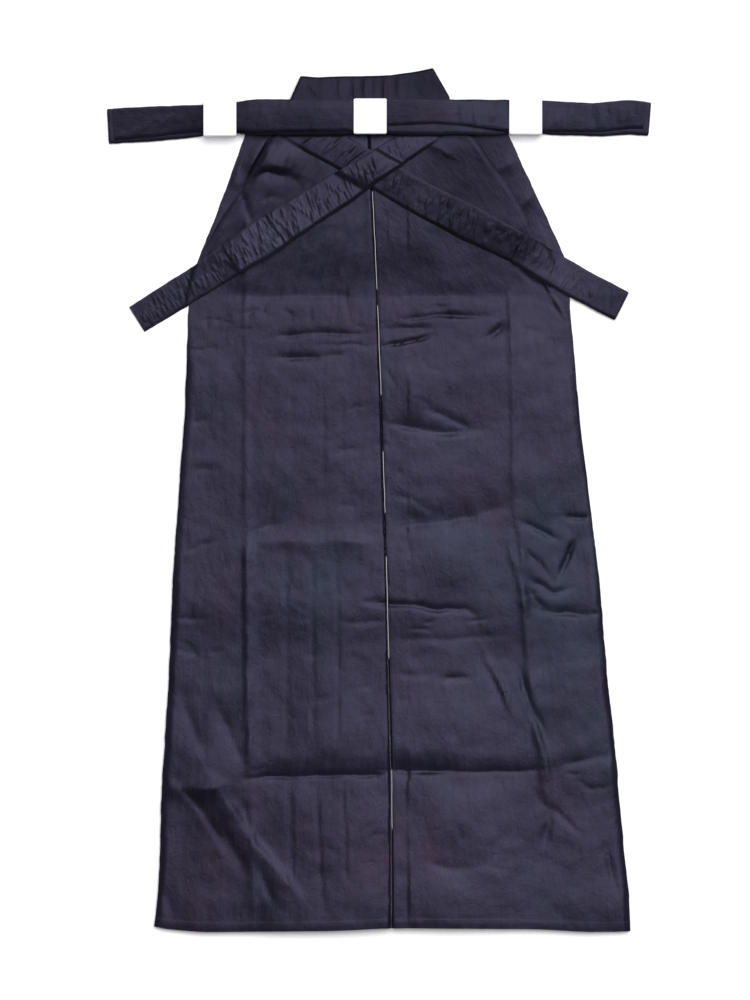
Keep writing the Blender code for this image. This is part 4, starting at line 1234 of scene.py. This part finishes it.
threads = {
    "sides": 8, "bastingRadius": 0.32, "dashes": [(70, 193), (211, 324), (392, 471), (522, 652), (786, 862)],
    # each thread's finish, colour and roughness
    "bastingLook": ("whiteThread", (0.62, 0.6, 0.64), 0.6), "hemLook": ("navyThread", (0.06, 0.06, 0.1), 0.5),
    "stitchLength": 2.3, "stitchPitch": 3.3, "stitchRadius": 0.24, "hemLine": 11.5,
}


def tubeMesh(paths, radius, sides):
    # several round threads as one set of points and quads, drawn in at their ends
    allPoints = []
    allQuads = []
    mapping = []
    count = 0
    angle = np.arange(sides) / sides * 2 * np.pi
    for path in paths:
        step = np.gradient(path, axis=0)
        step /= np.linalg.norm(step, axis=1, keepdims=True)
        side = np.cross(step, (0, 0, 1))
        side /= np.linalg.norm(side, axis=1, keepdims=True)
        up = np.cross(side, step)
        size = np.ones(len(path)) * radius
        size[0] = size[-1] = radius * 0.25
        ring = side[:, None, :] * np.cos(angle)[:, None] + up[:, None, :] * np.sin(angle)[:, None]
        allPoints.append((path[:, None, :] + ring * size[:, None, None]).reshape(-1, 3))
        index = np.arange(len(path) * sides).reshape(len(path), sides) + count
        beside = np.roll(index, -1, 1)
        allQuads.append(np.stack([index[:-1], beside[:-1], beside[1:], index[1:]], 2).reshape(-1, 4))
        for end, turned in ((index[0], True), (index[-1], False)):
            for first in range(1, sides - 1, 2):
                quad = [end[0], end[first], end[first + 1], end[(first + 2) % sides]]
                allQuads.append(np.array([quad[::-1] if turned else quad]))
        place = np.r_[0, np.cumsum(np.linalg.norm(np.diff(path, axis=0), axis=1))]
        mapping.append(np.stack([np.repeat(place, sides), np.tile(angle, len(path))], 1))
        count += len(path) * sides
    return np.concatenate(allPoints), np.concatenate(allQuads), np.concatenate(mapping)


def makeThread(name, paths, radius, finishName, colour, roughness):
    # twisted yarn in one colour
    finish, shader, where = startFinish(finishName)
    ply = threadNode(where, "DIAGONAL", 1200)
    link(mixNode(spreadNode(ply, 0, 1, 0, 0.35), colour, tuple(c * 0.7 for c in colour)),
         shader["Base Color"])
    fill(shader, {"Roughness": roughness})
    link(bumpNode(ply, 0.0001, 0.6), shader["Normal"])
    return meshFrom(name, *tubeMesh(paths, radius, threads["sides"]), finish, 80)


def makeBasting():
    # long white tacking stitches that hold the centre pleat shut
    paths = []
    for start, end in threads["dashes"]:
        down = np.arange(start, end, 2.5)
        x = centreX(down) + 1.1 + 0.25 * roundNoise(down, 0, 14, 71)
        z = smoothed(restOn(x, waistY - down, 2, 2) + threads["bastingRadius"] + 0.1, 3)
        z -= 1.2 * (1 - np.clip(np.minimum(down - start, end - down) / 3, 0, 1)) ** 2
        paths.append(np.stack([x, waistY - down, z], 1))
    return makeThread("bastingThread", paths, threads["bastingRadius"], *threads["bastingLook"])


def makeHemStitches():
    # the hem's row of stitches, sunk a little into the cloth
    paths = []
    down = 975
    for side in (-1, 1):
        edge = np.interp(down, *backSides[side])
        for x in np.arange(centreX(down) + side * 4, edge - side * 3, side * threads["stitchPitch"]):
            places = x + np.linspace(-0.5, 0.5, 5) * threads["stitchLength"]
            y = waistY - hemDown(places) + threads["hemLine"]
            z = restOn(places, y, 1.5, 1.5) - np.array([0.5, 0.05, 0, 0.05, 0.5])
            paths.append(np.stack([places, y, z], 1))
    return makeThread("hemStitches", paths, threads["stitchRadius"], *threads["hemLook"])


basting = makeBasting()
hemStitches = makeHemStitches()
print("threads sewn")


studio = {
    "floorSize": 3, "floorColour": (0.93, 0.93, 0.94), "worldLight": 0.25, "sunStrength": 3.5,
    "sunSoftness": 49, "sunFrom": 26, "sunHeight": 68, "lens": 300, "sensor": 36,
    "viewHeight": 1.24, "sideShift": -0.005,
}


def makeFloor():
    mesh = bpy.data.meshes.new("floor")
    size = studio["floorSize"]
    corners = [(-size, -size, 0), (size, -size, 0), (size, size, 0), (-size, size, 0)]
    mesh.from_pydata(corners, [], [(0, 1, 2, 3)])
    finish = bpy.data.materials.new("paleFloor")
    finish.use_nodes = True
    fill(finish.node_tree.nodes["Principled BSDF"].inputs,
         {"Base Color": (*studio["floorColour"], 1), "Roughness": 0.9, "Specular IOR Level": 0.1})
    mesh.materials.append(finish)
    floor = bpy.data.objects.new("floor", mesh)
    bpy.context.scene.collection.objects.link(floor)
    floor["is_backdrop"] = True


def makeLights():
    # one soft sun from a window, and an even pale room
    world = bpy.data.worlds.new("studioWorld")
    world.use_nodes = True
    fill(world.node_tree.nodes["Background"].inputs,
         {"Color": (1, 1, 1, 1), "Strength": studio["worldLight"]})
    bpy.context.scene.world = world
    sun = bpy.data.lights.new("windowLight", "SUN")
    sun.energy = studio["sunStrength"]
    sun.angle = math.radians(studio["sunSoftness"])
    holder = bpy.data.objects.new("windowLight", sun)
    tilt, turn = math.radians(90 - studio["sunHeight"]), math.radians(180 - studio["sunFrom"])
    holder.rotation_euler = (tilt, 0, turn)
    bpy.context.scene.collection.objects.link(holder)


def makeCamera():
    # straight above the garment, far enough for its whole length
    low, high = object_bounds()
    camera = bpy.data.cameras.new("overheadCamera")
    camera.lens = studio["lens"]
    camera.sensor_width = studio["sensor"]
    camera.clip_end = 20
    holder = bpy.data.objects.new("overheadCamera", camera)
    distance = studio["viewHeight"] * studio["lens"] / studio["sensor"]
    holder.location = ((low.x + high.x) / 2 + studio["sideShift"], (low.y + high.y) / 2, distance)
    bpy.context.scene.collection.objects.link(holder)
    bpy.context.scene.camera = holder


makeFloor()
makeLights()
makeCamera()
bpy.context.scene.view_settings.view_transform = "Standard"
